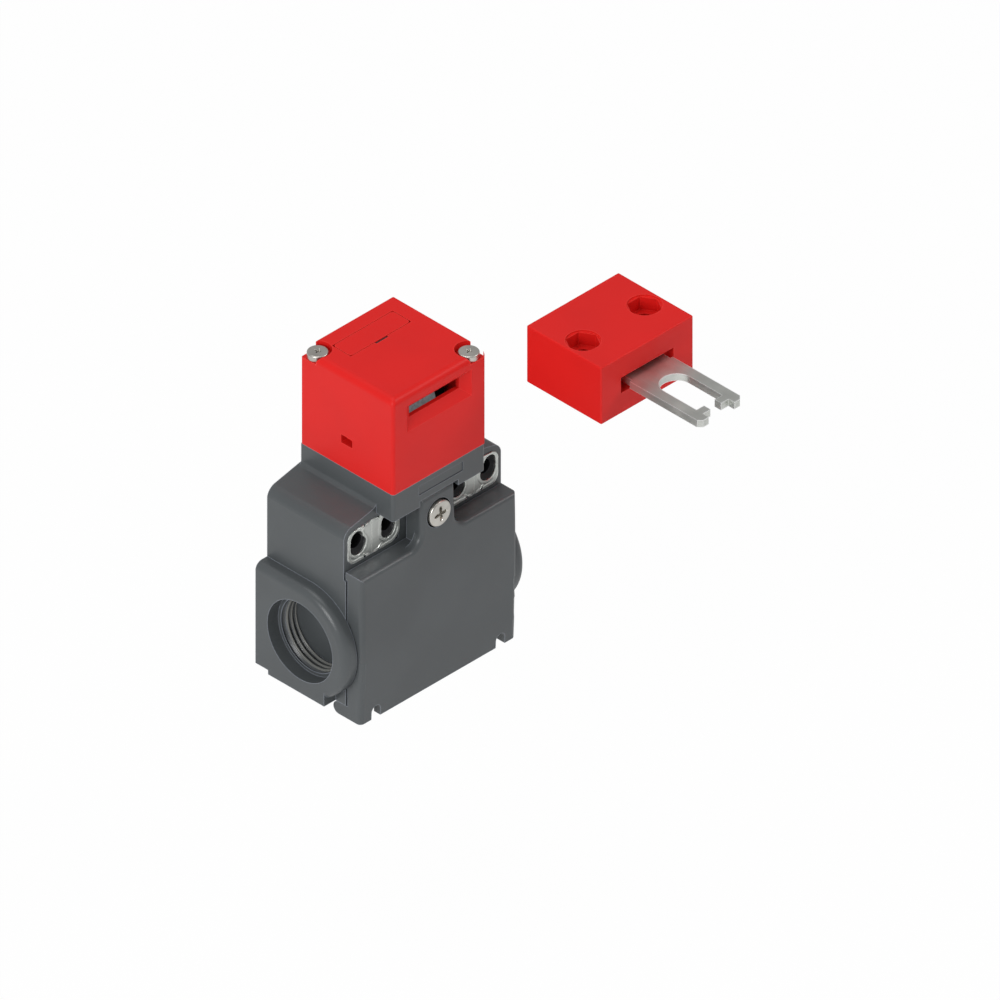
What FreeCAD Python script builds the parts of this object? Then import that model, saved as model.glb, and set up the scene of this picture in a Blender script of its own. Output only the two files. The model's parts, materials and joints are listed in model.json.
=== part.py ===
import FreeCAD, Part
import os
import re
import math
import Sketcher

# Tongue interlock switch: a plastic housing with a hinged cover, a turning cam in a red head,
# and a separate red actuator block with a forked steel tongue. Millimetres throughout.
# Every size below is measured from the head's centre line and from the bottom of the cover.
# X runs to the right along the front, Y runs to the back, Z runs up.
# Each piece is then placed so that the mounting plane and the fixing holes are the origin.

os.makedirs("parts", exist_ok=True)

SIZES = [
    ("back_plane", 15.5, "mounting plane, behind the head centre"),
    ("fixing_height", 47.2, "fixing holes above the bottom of the cover"),
    ("fixing_hole_radius", 2.15, "fixing holes through the housing"),
    ("fixing_inner", 11, "inner fixing holes from the middle"),
    ("fixing_inset", 4.6, "outer fixing holes from the side of the housing"),
    ("play", 0.3, "air between pieces that move past each other"),
    ("slip", 0.05, "radial clearance of a running shaft"),
    ("fit", 0.02, "clearance of a pressed or screwed piece"),
    ("housing_half", 25.6, "half the width of the housing"),
    ("housing_bottom", 3.7, "underside of the housing"),
    ("housing_side_top", 49.8, "where the side starts to round"),
    ("shoulder_inset", 2.4, "where the shoulder rounding ends, from the side"),
    ("housing_shoulder", 52.5, "height of the shoulder there"),
    ("housing_corner", 3.2, "radius of the shoulder corner"),
    ("recess_plane", -9.5, "front plane behind the fixing plates"),
    ("rim_plane", -10.1, "front rim that the cover closes on"),
    ("rim_drop", 2.4, "top of that rim below the cover shoulder"),
    ("neck_half", 15, "half the side of the neck and of the head"),
    ("neck_foot", 54.3, "where the shoulders meet the neck"),
    ("neck_high", 5.7, "height of the neck over its foot"),
    ("neck_rounding", 0.9, "upright front edges of neck and head"),
    ("foot_fillet", 1.2, "hollow between shoulder and neck"),
    ("tab_notch_half", 6.2, "notch over the cover tab, half width"),
    ("tab_notch_air", 0.5, "air over the cover tab"),
    ("label_left", -6.7, "engraved label field on the neck"),
    ("label_right", 7.7, "engraved label field on the neck"),
    ("label_over", 1.6, "engraved label field above the neck foot"),
    ("label_tall", 2.5, "height of the label field"),
    ("label_depth", 0.15, "depth of the label field"),
    ("boss_reach", 3.8, "how far the conduit boss stands out of the side"),
    ("boss_arc", 14.9, "front rounding of the boss at its root, level with its flat top"),
    ("boss_edge", 2, "rounding of the boss at its face"),
    ("boss_foot_front", -6.85, "front of the boss foot"),
    ("boss_heel", 11.4, "back of the deeper part of the foot"),
    ("boss_heel_low", 4.9, "underside of the heel"),
    ("bore_depth_place", 1, "conduit bore axis, front to back"),
    ("bore_height", 18.2, "conduit bore axis above the cover bottom"),
    ("mouth_radius", 10.6, "plain mouth of the conduit bore"),
    ("mouth_depth", 3.5, "length of the plain mouth"),
    ("thread_major", 10.2, "conduit thread, outer radius"),
    ("thread_minor", 9.6, "conduit thread, inner radius"),
    ("thread_pitch", 1.41, "conduit thread pitch"),
    ("bore_depth", 8.5, "depth of the bore to the knock-out disc"),
    ("disc_thick", 1.5, "thickness of the knock-out disc"),
    ("chamber_low", 7.5, "floor of the wiring chamber"),
    ("chamber_high", 36.5, "ceiling of the wiring chamber"),
    ("chamber_back", 13, "back wall of the wiring chamber"),
    ("hinge_place", -7.5, "cover hinge axis, front to back"),
    ("hinge_height", 1.7, "cover hinge axis above the cover bottom"),
    ("knuckle_radius", 1.6, "hinge knuckle under the housing"),
    ("knuckle_wide", 2.3, "width of the knuckle"),
    ("stub_radius", 0.8, "hinge stub on the knuckle"),
    ("stub_length", 2.6, "length of the hinge stub"),
    ("cover_front", -14.6, "front of the cover at top and bottom"),
    ("cover_crown", 0.6, "how far the front bulges"),
    ("cover_inside", -12.5, "inner face of the front wall"),
    ("cover_back", -10.4, "back edge of the cover side walls"),
    ("cover_ledge_back", -9.8, "back edge of tab and shoulders"),
    ("cover_shoulder", 41, "height of the cover shoulders"),
    ("cover_wall", 2, "thickness of the cover side walls"),
    ("cover_rounding", 1.2, "front edges of the cover"),
    ("tab_half", 5.6, "half the width of the cover tab"),
    ("tab_top", 53.6, "top of the cover tab"),
    ("tab_fillet", 3.5, "inner corners beside the tab"),
    ("lower_web_low", 4.2, "lower sealing web of the cover"),
    ("lower_web_high", 6.4, "lower sealing web of the cover"),
    ("upper_web_tall", 1.7, "upper sealing web of the cover"),
    ("lug_wide", 3.6, "width of the hinge lug"),
    ("notch_wide", 2.9, "width of the bottom notch in the cover"),
    ("notch_height", 3.4, "height of the bottom notch"),
    ("seal_inset", 0.6, "cover seal, in from the side of the cover"),
    ("seal_low", 4.9, "cover seal, lowest edge"),
    ("seal_drop", 0.4, "cover seal, highest edge below the rim top"),
    ("seal_width", 0.8, "width of the cover seal"),
    ("seal_deep", 1.2, "depth of the cover seal"),
    ("screw_height", 47.8, "cover screw axis"),
    ("screw_head_radius", 3.4, "cover screw head"),
    ("screw_sink_radius", 3.8, "counterbore round that head"),
    ("screw_sink_floor", -12.9, "floor of the counterbore"),
    ("screw_face", -15.6, "outer face of the cover screw"),
    ("screw_shank", 1.9, "cover screw shank radius"),
    ("screw_end", -5.4, "inner end of the cover screw"),
    ("insert_radius", 3, "brass insert, outer radius"),
    ("insert_bore", 2.25, "brass insert, bore radius"),
    ("insert_end", -4.4, "inner end of the brass insert"),
    ("cross_long", 2.1, "cross recess, half length"),
    ("cross_slim", 0.45, "cross recess, half width"),
    ("cross_deep", 1.1, "cross recess depth"),
    ("plate_inner", 7.8, "fixing plate, inner end"),
    ("plate_inset", 1.1, "fixing plate, outer end from the side"),
    ("plate_low", 42, "fixing plate, bottom edge"),
    ("plate_high", 51.9, "fixing plate, top edge at its inner end"),
    ("plate_drop", 0.9, "how much lower the outer top corner starts"),
    ("plate_corner", 2.4, "rounded outer corners of the plate"),
    ("plate_face", -9.7, "front face of the fixing plate"),
    ("plate_thick", 1.2, "thickness of the fixing plate"),
    ("plate_slot_half", 2.6, "outer plate opening, half width"),
    ("plate_slot_low", 46.6, "outer plate opening, lower centre"),
    ("plate_slot_high", 47.9, "outer plate opening, upper centre"),
    ("plate_inner_place", 11.2, "inner plate opening from the middle"),
    ("nick_place", 16.2, "square nicks in the plate edges"),
    ("nick_half", 0.7, "half the width of a nick"),
    ("nick_deep", 0.9, "depth of a nick"),
    ("head_high", 26.5, "height of the head"),
    ("head_rounding", 1.8, "front and left edges of the head top"),
    ("head_back_rounding", 0.4, "back and right edges of the head"),
    ("cavity_half", 10.2, "cam chamber, half width"),
    ("cavity_front", -12.2, "cam chamber, front"),
    ("cavity_back", 10.5, "cam chamber, back"),
    ("head_roof", 3, "roof over the cam chamber"),
    ("funnel_half", 10.6, "tongue slot at the face, half width"),
    ("funnel_under", 2.4, "funnel below the slot at the face"),
    ("funnel_over", 2, "funnel above the slot at the face"),
    ("funnel_floor", -13.3, "where the funnel ends"),
    ("slot_half", 8.15, "tongue slot, half width"),
    ("slot_tall", 3, "height of the tongue slot"),
    ("slot_drop", 5.4, "tongue slot, upper edge below the head top"),
    ("window_front", -1.7, "small side window"),
    ("window_back", 2, "small side window"),
    ("window_drop", 6.3, "small side window below the cam axis"),
    ("window_tall", 2.3, "height of the small side window"),
    ("window_deep", 2.2, "outer step of the side window"),
    ("window_step", 0.5, "inner step of the side window"),
    ("cap_left", -9, "closing cap of the top slot"),
    ("cap_right", 10.8, "closing cap of the top slot"),
    ("cap_front", 4.8, "closing cap of the top slot"),
    ("cap_back", 11, "closing cap of the top slot"),
    ("cap_thick", 1.8, "thickness of the closing cap"),
    ("cap_gap", 0.2, "line round the closing cap"),
    ("cap_stub_inset", 1.8, "how far the cap's stub is set in"),
    ("slit_left", -1.2, "pry slit beside the cap"),
    ("slit_right", 2.9, "pry slit beside the cap"),
    ("slit_wide", 0.5, "width of the pry slit"),
    ("slit_deep", 3.1, "depth of the pry slit"),
    ("corner_screw", 12.3, "head screws from the middle, both ways"),
    ("corner_notch", 3.4, "corner notch about the head screw"),
    ("corner_deep", 2.1, "depth of the corner notch"),
    ("pan_radius", 2.55, "head screw, pan head"),
    ("pan_under", 0.5, "top of the pan head below the head top"),
    ("pan_shank", 1.4, "head screw, shank"),
    ("pan_deep", 7.6, "head screw below the joint line"),
    ("pan_cross", 1.5, "cross recess in the pan head, half length"),
    ("pan_cross_deep", 0.8, "cross recess in the pan head, depth"),
    ("ring_inner", 5, "seal under the head"),
    ("ring_outer", 6.2, "seal under the head"),
    ("ring_deep", 0.9, "seal under the head"),
    ("cam_place", 0.5, "cam and plunger axis, front to back"),
    ("cam_drop", 13.5, "cam axis below the head top"),
    ("cam_radius", 9.5, "cam drum radius"),
    ("cam_hub", 4, "cam hub radius"),
    ("cam_lift", 3, "plunger travel over the cam's turn"),
    ("cam_swing", 60, "cam turn in degrees"),
    ("cam_half", 8, "cam drum and wheel, half length"),
    ("cam_track", 3.4, "cam track, half width"),
    ("cam_split", 0.15, "half the gap between wheel tooth and drum"),
    ("axle_radius", 1.5, "cam axle"),
    ("axle_half", 12.2, "cam axle, half length"),
    ("bite_left", -6.6, "tongue notch in the steel wheel"),
    ("bite_right", -4.4, "tongue notch in the steel wheel"),
    ("bite_face", -4, "tongue notch, pushed face"),
    ("bite_floor", 4.9, "tongue notch, floor"),
    ("plunger_radius", 3, "plunger rod"),
    ("plunger_gap", 0.4, "air between cam track and plunger nose"),
    ("nose_radius", 0.8, "rounding of the plunger nose"),
    ("nose_half", 2.2, "half the length of the nose"),
    ("nose_neck", 1.2, "height of the nose over the rod"),
    ("plunger_seal_radius", 4.5, "plunger seal, outer radius"),
    ("plunger_seal_tall", 2, "plunger seal, height"),
    ("plunger_seal_under", 1, "plunger seal below the joint line"),
    ("block_half", 15, "contact block, half width"),
    ("block_front", -5, "contact block, front"),
    ("block_low", 9, "contact block, bottom"),
    ("block_high", 35, "contact block, top"),
    ("channel_floor", 10.5, "carrier channel, floor"),
    ("carrier_half", 4, "contact carrier, half width"),
    ("carrier_deep", 3.4, "contact carrier, half depth"),
    ("carrier_low", 14, "contact carrier, bottom"),
    ("carrier_high", 32.5, "contact carrier, top"),
    ("cross_channel_half", 9.5, "cross channel of the bridges, half width"),
    ("cross_channel_deep", 2.1, "cross channel of the bridges, half depth"),
    ("cross_channel_low", 15.5, "cross channel, bottom"),
    ("cross_channel_high", 33, "cross channel, top"),
    ("bridge_first", 17, "lower bridge"),
    ("bridge_step", 8.5, "upper bridge above the lower one"),
    ("bridge_half", 8.5, "bridge, half length"),
    ("bridge_deep", 1.2, "bridge, half depth"),
    ("bridge_thick", 1, "bridge thickness"),
    ("tip_place", 7, "contact tips from the middle"),
    ("tip_radius", 1.1, "contact tips"),
    ("tip_thick", 0.4, "contact tips"),
    ("strip_inner", 5.5, "fixed contact, inner end"),
    ("strip_outer", 14.5, "fixed contact, outer end"),
    ("strip_deep", 1.4, "fixed contact, half depth"),
    ("strip_thick", 0.8, "fixed contact, thickness"),
    ("terminal_place", 12.5, "terminals from the middle"),
    ("terminal_half", 2.2, "terminal tab, half side"),
    ("terminal_thick", 1, "terminal tab and clamp plate"),
    ("wire_gap", 0.2, "gap under the clamp plate"),
    ("terminal_screw", 1.1, "terminal screw shank"),
    ("terminal_head", 2, "terminal screw head"),
    ("block_screw_height", 12.5, "screws of the contact block"),
    ("block_screw", 1.3, "screws of the contact block, shank"),
    ("block_screw_head", 2.1, "screws of the contact block, head"),
    ("block_screw_end", 14.3, "screws of the contact block, end"),
    ("spring_radius", 2.4, "return spring, mean radius"),
    ("spring_wire", 0.3, "return spring, wire radius"),
    ("key_left", 27.3, "actuator block, left side"),
    ("key_wide", 30, "actuator block, width"),
    ("key_front", -40.5, "actuator block, front"),
    ("key_deep", 24.4, "actuator block, depth"),
    ("key_high", 16, "actuator block, height"),
    ("key_rounding", 0.4, "edges of the actuator block"),
    ("nut_first", 5, "left hexagon pocket from the left side"),
    ("nut_pitch", 20, "between the two hexagon pockets"),
    ("nut_back", 10.9, "hexagon pockets behind the front"),
    ("nut_flat", 3.6, "hexagon, half width over flats"),
    ("nut_rim", 4.2, "round rim of the hexagon pocket"),
    ("nut_rim_deep", 0.5, "depth of the round rim"),
    ("nut_deep", 4, "depth of the hexagon pocket"),
    ("key_hole", 2.2, "actuator fixing holes"),
    ("key_window_half", 8.6, "tongue window, half width"),
    ("key_window_low", 5.8, "tongue window above the block bottom"),
    ("key_window_high", 10.15, "tongue window above the block bottom"),
    ("key_window_deep", 2.5, "depth of the tongue window"),
    ("key_cavity_half", 7.1, "tongue chamber, half width"),
    ("key_cavity_low", 4.8, "tongue chamber, floor"),
    ("key_cavity_high", 11.2, "tongue chamber, ceiling"),
    ("key_cavity_deep", 15.5, "tongue chamber, depth"),
    ("tongue_middle", 8, "tongue mid plane above the block bottom"),
    ("tongue_thick", 2, "tongue thickness"),
    ("tongue_half", 7, "tongue, half width"),
    ("tongue_root_half", 6.25, "tongue in the window, half width"),
    ("tongue_step", 1.3, "where the tongue widens"),
    ("tongue_length", 24.2, "tongue beyond the block"),
    ("tongue_corner", 1, "outer corner of a prong"),
    ("tongue_inside", 14, "tongue inside the block"),
    ("fork_half", 4.15, "slot between the prongs, half width"),
    ("fork_start", 9.65, "centre of the slot's round root"),
    ("nub_near", 20.2, "inward nubs"),
    ("nub_far", 22.3, "inward nubs"),
    ("nub_half", 1.72, "half the gap between the nubs"),
    ("pivot_back", 5.5, "tongue pivot behind the front"),
    ("pivot_barrel", 2, "barrel of the tongue pivot"),
    ("pivot_pin", 0.9, "tongue pin"),
    ("pin_half", 9, "tongue pin, half length"),
    ("pad_near", 11, "rubber pads, front"),
    ("pad_far", 14, "rubber pads, back"),
    ("pad_gap", 0.75, "air between tongue and pad"),
    ("pad_half", 5.5, "rubber pads, half width"),
]

# Sizes that follow from others, so that the pieces keep together when one is changed.
FOLLOWING = {
    "boss_face": "(housing_half + boss_reach)",
    "fixing_outer": "(housing_half - fixing_inset)",
    "housing_shoulder_half": "(housing_half - shoulder_inset)",
    "cover_half": "(housing_half - play)",
    "lug_inner": "(cover_half - lug_wide)",
    "notch_inner": "(lug_inner - notch_wide)",
    "knuckle_outer": "(lug_inner - play)",
    "knuckle_inner": "(knuckle_outer - knuckle_wide)",
    "seal_outer": "(cover_half - seal_inset)",
    "seal_inner": "(seal_outer - seal_width)",
    "plate_outer": "(housing_half - plate_inset)",
    "rim_top": "(cover_shoulder - rim_drop)",
    "upper_web_low": "(rim_top - upper_web_tall)",
    "seal_high": "(rim_top - seal_drop)",
    "tab_notch_top": "(tab_top + tab_notch_air)",
    "neck_top": "(neck_foot + neck_high)",
    "label_low": "(neck_foot + label_over)",
    "label_high": "(label_low + label_tall)",
    "plunger_seal_high": "(neck_top - plunger_seal_under)",
    "plunger_seal_low": "(plunger_seal_high - plunger_seal_tall)",
    "pan_end": "(neck_top - pan_deep)",
    "head_top": "(neck_top + head_high)",
    "cavity_top": "(head_top - head_roof)",
    "slot_high": "(head_top - slot_drop)",
    "slot_low": "(slot_high - slot_tall)",
    "funnel_low": "(slot_low - funnel_under)",
    "funnel_high": "(slot_high + funnel_over)",
    "cap_floor": "(head_top - cap_thick)",
    "corner_ledge": "(head_top - corner_deep)",
    "pan_top": "(head_top - pan_under)",
    "cam_height": "(head_top - cam_drop)",
    "window_low": "(cam_height - window_drop)",
    "window_high": "(window_low + window_tall)",
    "key_low": "(slot_low + slot_tall / 2 - tongue_middle)",
}

doc = FreeCAD.newDocument("tongue_interlock_switch")
sheet = doc.addObject("Spreadsheet::Sheet", "Sizes")
for row, (name, size, note) in enumerate(SIZES, 1):
    sheet.set(f"A{row}", note)
    sheet.set(f"B{row}", str(size))
    sheet.setAlias(f"B{row}", name)
doc.recompute()

NAMES = {name for name, size, note in SIZES}
PLANES = {"XY": "XY_Plane", "XZ": "XZ_Plane", "YZ": "YZ_Plane"}
nodes = []


def sized(text):
    """An expression over the names of the sizes, ready for a property."""
    while any(word in FOLLOWING for word in re.findall(r"[a-z_]+", text)):
        text = re.sub(r"[a-z_]+", lambda w: FOLLOWING.get(w.group(), w.group()), text)
    return re.sub(r"[a-z_]+", lambda w: "Sizes." + w.group() if w.group() in NAMES else w.group(), text)


def number(text):
    """The value of an expression over the names of the sizes."""
    return float(sheet.evalExpression(sized(text)))


def place(node, x="0", y="0", z="0"):
    """Puts a piece at a point measured from head centre and cover bottom."""
    node.setExpression("Placement.Base.x", sized(x))
    node.setExpression("Placement.Base.y", sized(f"{y} - back_plane"))
    node.setExpression("Placement.Base.z", sized(f"{z} - fixing_height"))


def keep(node, label, x="0", y="0", z="0"):
    """Names a finished piece, places it and lists it for export."""
    node.Label = label
    place(node, x, y, z)
    nodes.append(node)
    return node


def new_body(label, x="0", y="0", z="0"):
    return keep(doc.addObject("PartDesign::Body", label), label, x, y, z)


def rect(left, right, low, high):
    return [(left, low), (right, low), (right, high), (left, high)]


def span(side, near, far):
    """Low and high end of a stretch on the right, or mirrored to the left."""
    if side > 0:
        return near, far
    return f"-({far})", f"-({near})"


def pin_point(drawn, part, end, x, y):
    """Holds a point of a sketch at two expressions."""
    for kind, text in (("DistanceX", x), ("DistanceY", y)):
        index = drawn.addConstraint(Sketcher.Constraint(kind, -1, 1, part, end, number(text)))
        drawn.setExpression(f"Constraints[{index}]", sized(text))


def draw_circle(drawn, x, y, radius):
    middle = FreeCAD.Vector(number(x), number(y), 0)
    part = drawn.addGeometry(Part.Circle(middle, FreeCAD.Vector(0, 0, 1), number(radius)))
    pin_point(drawn, part, 3, x, y)
    index = drawn.addConstraint(Sketcher.Constraint("Radius", part, number(radius)))
    drawn.setExpression(f"Constraints[{index}]", sized(radius))


def arc_between(start, end, radius):
    """The short arc from start to end, turning left for a positive radius."""
    chord = end - start
    half = chord.Length / 2
    across = FreeCAD.Vector(-chord.y, chord.x, 0).normalize()
    rise = math.sqrt(radius * radius - half * half)
    side = 1 if radius > 0 else -1
    middle = (start + end) / 2 + across * rise * side
    first, last = (start, end) if radius > 0 else (end, start)
    angles = [math.atan2(p.y - middle.y, p.x - middle.x) for p in (first, last)]
    circle = Part.Circle(middle, FreeCAD.Vector(0, 0, 1), abs(radius))
    return Part.ArcOfCircle(circle, angles[0], angles[1])


def draw_outline(drawn, corners):
    """A closed outline. A third entry in a corner makes the next edge an arc of that radius."""
    points = [FreeCAD.Vector(number(c[0]), number(c[1]), 0) for c in corners]
    parts = []
    for here, corner in enumerate(corners):
        start = points[here]
        end = points[(here + 1) % len(points)]
        if len(corner) == 3:
            radius = number(corner[2])
            part = drawn.addGeometry(arc_between(start, end, radius))
            parts.append((part, 1, 2) if radius > 0 else (part, 2, 1))
        else:
            part = drawn.addGeometry(Part.LineSegment(start, end))
            parts.append((part, 1, 2))
    for here, (part, first, last) in enumerate(parts):
        after = parts[(here + 1) % len(parts)]
        drawn.addConstraint(Sketcher.Constraint("Coincident", part, last, after[0], after[1]))
    for (part, first, last), corner in zip(parts, corners):
        pin_point(drawn, part, first, corner[0], corner[1])
        if len(corner) == 3:
            size = abs(number(corner[2]))
            index = drawn.addConstraint(Sketcher.Constraint("Radius", part, size))
            drawn.setExpression(f"Constraints[{index}]", sized(f"abs({corner[2]})"))


def draw(node, name, plane, level, loops, x="0", y="0"):
    """A sketch on one of the body's own planes, moved out along its normal."""
    drawn = node.newObject("Sketcher::SketchObject", name + "_sketch")
    face = next(f for f in node.Origin.OriginFeatures if f.Role == PLANES[plane])
    drawn.AttachmentSupport = (face, [""])
    drawn.MapMode = "FlatFace"
    drawn.setExpression(".AttachmentOffset.Base.x", sized(x))
    drawn.setExpression(".AttachmentOffset.Base.y", sized(y))
    drawn.setExpression(".AttachmentOffset.Base.z", sized(level))
    for loop in loops:
        if isinstance(loop, tuple):
            draw_circle(drawn, *loop)
        else:
            draw_outline(drawn, loop)
    return drawn


def pad(node, name, plane, low, high, *loops):
    """Adds material between two levels."""
    level = f"-({high})" if plane == "XZ" else low
    drawn = draw(node, name, plane, level, loops)
    made = node.newObject("PartDesign::Pad", name)
    made.Profile = drawn
    made.setExpression("Length", sized(f"({high}) - ({low})"))
    drawn.Visibility = False
    return made


def cut(node, name, plane, low, high, *loops):
    """Takes material away between two levels."""
    level = f"-({low})" if plane == "XZ" else high
    drawn = draw(node, name, plane, level, loops)
    made = node.newObject("PartDesign::Pocket", name)
    made.Profile = drawn
    made.setExpression("Length", sized(f"({high}) - ({low})"))
    drawn.Visibility = False
    return made


def at(edge, **where):
    """True where every given coordinate of the edge stays at its value."""
    box = edge.BoundBox
    ends = {"x": (box.XMin, box.XMax), "y": (box.YMin, box.YMax), "z": (box.ZMin, box.ZMax)}
    return all(abs(end - value) < 0.02 for axis, value in where.items() for end in ends[axis])


def round_edges(node, name, radius, chosen):
    """Rounds the edges that the given test picks."""
    doc.recompute()
    before = node.Tip
    picked = [f"Edge{n}" for n, edge in enumerate(before.Shape.Edges, 1) if chosen(edge)]
    assert picked, name
    made = node.newObject("PartDesign::Fillet", name)
    made.Base = (before, picked)
    made.setExpression("Radius", sized(radius))
    return made


def box(x, y, z):
    """A plain block between pairs of expressions."""
    made = doc.addObject("Part::Box", "block")
    for axis, size, (low, high) in (("x", "Length", x), ("y", "Width", y), ("z", "Height", z)):
        made.setExpression(size, sized(f"({high}) - ({low})"))
        made.setExpression(f"Placement.Base.{axis}", sized(low))
    return made


def rod(axis, x, y, z, radius, length):
    """A plain cylinder along one axis."""
    made = doc.addObject("Part::Cylinder", "rod")
    turns = {"x": ((0, 1, 0), 90), "y": ((1, 0, 0), -90), "z": ((0, 0, 1), 0)}
    about, angle = turns[axis]
    made.Placement = FreeCAD.Placement(FreeCAD.Vector(), FreeCAD.Rotation(FreeCAD.Vector(*about), angle))
    made.setExpression("Radius", sized(radius))
    made.setExpression("Height", sized(length))
    made.setExpression("Placement.Base.x", sized(x))
    made.setExpression("Placement.Base.y", sized(y))
    made.setExpression("Placement.Base.z", sized(z))
    return made


def joined(pieces):
    made = doc.addObject("Part::MultiFuse", "joined")
    made.Shapes = pieces
    return made


def carved(base, tools):
    made = doc.addObject("Part::Cut", "carved")
    made.Base = base
    made.Tool = tools[0] if len(tools) == 1 else joined(tools)
    return made


def cross(x, y, long, slim):
    """Outline of a cross recess about a point."""
    corners = []
    for turn in range(4):
        a, b = [(1, 0), (0, 1), (-1, 0), (0, -1)][turn]
        c, d = -b, a
        corners.append((f"{x} + {a} * {long} - {c} * {slim}", f"{y} + {b} * {long} - {d} * {slim}"))
        corners.append((f"{x} + {a} * {long} + {c} * {slim}", f"{y} + {b} * {long} + {d} * {slim}"))
        corners.append((f"{x} + ({a} + {c}) * {slim}", f"{y} + ({b} + {d}) * {slim}"))
    return corners


# Housing: main block with shoulders, neck, conduit bosses, chamber and hinge knuckles.
housing = new_body("housing")
outline = [
    ("-housing_half", "housing_bottom"),
    ("housing_half", "housing_bottom"),
    ("housing_half", "housing_side_top", "housing_corner"),
    ("housing_shoulder_half", "housing_shoulder"),
    ("neck_half", "neck_foot"),
    ("-neck_half", "neck_foot"),
    ("-housing_shoulder_half", "housing_shoulder", "housing_corner"),
    ("-housing_half", "housing_side_top"),
]
pad(housing, "main_block", "XZ", "recess_plane", "back_plane", outline)
pad(housing, "rim", "XZ", "rim_plane", "recess_plane",
    rect("-housing_half", "housing_half", "housing_bottom", "rim_top"))
pad(housing, "neck", "XY", "housing_shoulder", "neck_top",
    rect("-neck_half", "neck_half", "-neck_half", "neck_half"))
foot_drop = "sqrt(boss_arc * boss_arc - (bore_depth_place - boss_foot_front) ^ 2)"
boss = [
    ("boss_foot_front", "housing_bottom"),
    ("boss_heel", "housing_bottom"),
    ("boss_heel", "boss_heel_low"),
    ("back_plane", "boss_heel_low"),
    ("back_plane", "bore_height + boss_arc"),
    ("bore_depth_place", "bore_height + boss_arc", "boss_arc"),
    ("boss_foot_front", f"bore_height - {foot_drop}"),
]
for side, word in ((-1, "left"), (1, "right")):
    low, high = span(side, "housing_half", "boss_face")
    pad(housing, f"boss_{word}", "YZ", low, high, boss)
boss_crest = number("bore_height + boss_arc")
round_edges(housing, "boss_rounding", "boss_edge",
            lambda e: (at(e, x=number("boss_face")) or at(e, x=-number("boss_face")))
            and (e.Curve.TypeId == "Part::GeomCircle" or at(e, z=boss_crest)))
for side, word in ((-1, "left"), (1, "right")):
    low, high = span(side, "knuckle_inner", "knuckle_outer")
    pad(housing, f"knuckle_{word}", "YZ", low, high,
        rect("hinge_place - knuckle_radius", "hinge_place + knuckle_radius", "hinge_height",
             "housing_bottom + fit"))
    pad(housing, f"knuckle_round_{word}", "YZ", low, high,
        ("hinge_place", "hinge_height", "knuckle_radius"))
    low, high = span(side, "knuckle_outer", "knuckle_outer + stub_length")
    pad(housing, f"stub_{word}", "YZ", low, high, ("hinge_place", "hinge_height", "stub_radius"))
chamber_half = "boss_face - bore_depth - disc_thick"
cut(housing, "chamber", "XZ", "rim_plane", "chamber_back",
    rect(f"-({chamber_half})", chamber_half, "chamber_low", "chamber_high"))
cut(housing, "tab_notch", "XZ", "-neck_half", "recess_plane",
    rect("-tab_notch_half", "tab_notch_half", "housing_shoulder", "tab_notch_top"))
cut(housing, "label_field", "XZ", "-neck_half", "label_depth - neck_half",
    rect("label_left", "label_right", "label_low", "label_high"))
cut(housing, "fixing_holes", "XZ", "recess_plane", "back_plane",
    *[(f"{side} * {place_name}", "fixing_height", "fixing_hole_radius")
      for side in (-1, 1) for place_name in ("fixing_inner", "fixing_outer")])
cut(housing, "insert_seat", "XZ", "recess_plane", "insert_end",
    ("0", "screw_height", "insert_radius + fit"))
cut(housing, "plunger_bore", "XY", "chamber_high", "neck_top", ("0", "cam_place", "plunger_radius + play"))
cut(housing, "plunger_seal_seat", "XY", "plunger_seal_low", "neck_top",
    ("0", "cam_place", "plunger_seal_radius + fit"))
cut(housing, "head_seal_groove", "XY", "neck_top - ring_deep", "neck_top",
    ("0", "cam_place", "ring_outer + fit"), ("0", "cam_place", "ring_inner - fit"))
cut(housing, "head_screw_holes", "XY", "pan_end - play", "neck_top",
    ("-corner_screw", "corner_screw", "pan_shank + fit"),
    ("corner_screw", "-corner_screw", "pan_shank + fit"))
cut(housing, "block_screw_holes", "XZ", "chamber_back", "block_screw_end + play",
    ("-terminal_place", "block_screw_height", "block_screw + fit"),
    ("terminal_place", "block_screw_height", "block_screw + fit"))


def thread_profile(side):
    """Half profile of a conduit bore: plain mouth, thread valleys, flat end."""
    start = "boss_face - mouth_depth"
    points = [("boss_face", "0"), ("boss_face", "mouth_radius"), (start, "mouth_radius")]
    for turn in range(3):
        for step, radius in ((0, "thread_minor"), (0.38, "thread_major"), (0.62, "thread_major")):
            points.append((f"{start} - {turn + step} * thread_pitch", radius))
    points.append((f"{start} - 3 * thread_pitch", "thread_minor"))
    points.append(("boss_face - bore_depth", "thread_minor"))
    points.append(("boss_face - bore_depth", "0"))
    return [(f"{side} * ({x})", y) for x, y in points]


for side, word in ((-1, "left"), (1, "right")):
    drawn = draw(housing, f"conduit_{word}", "XY", "bore_height", [thread_profile(side)],
                 "0", "bore_depth_place")
    groove = housing.newObject("PartDesign::Groove", f"conduit_{word}")
    groove.Profile = drawn
    groove.ReferenceAxis = (drawn, ["H_Axis"])
    groove.Angle = 360


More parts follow.
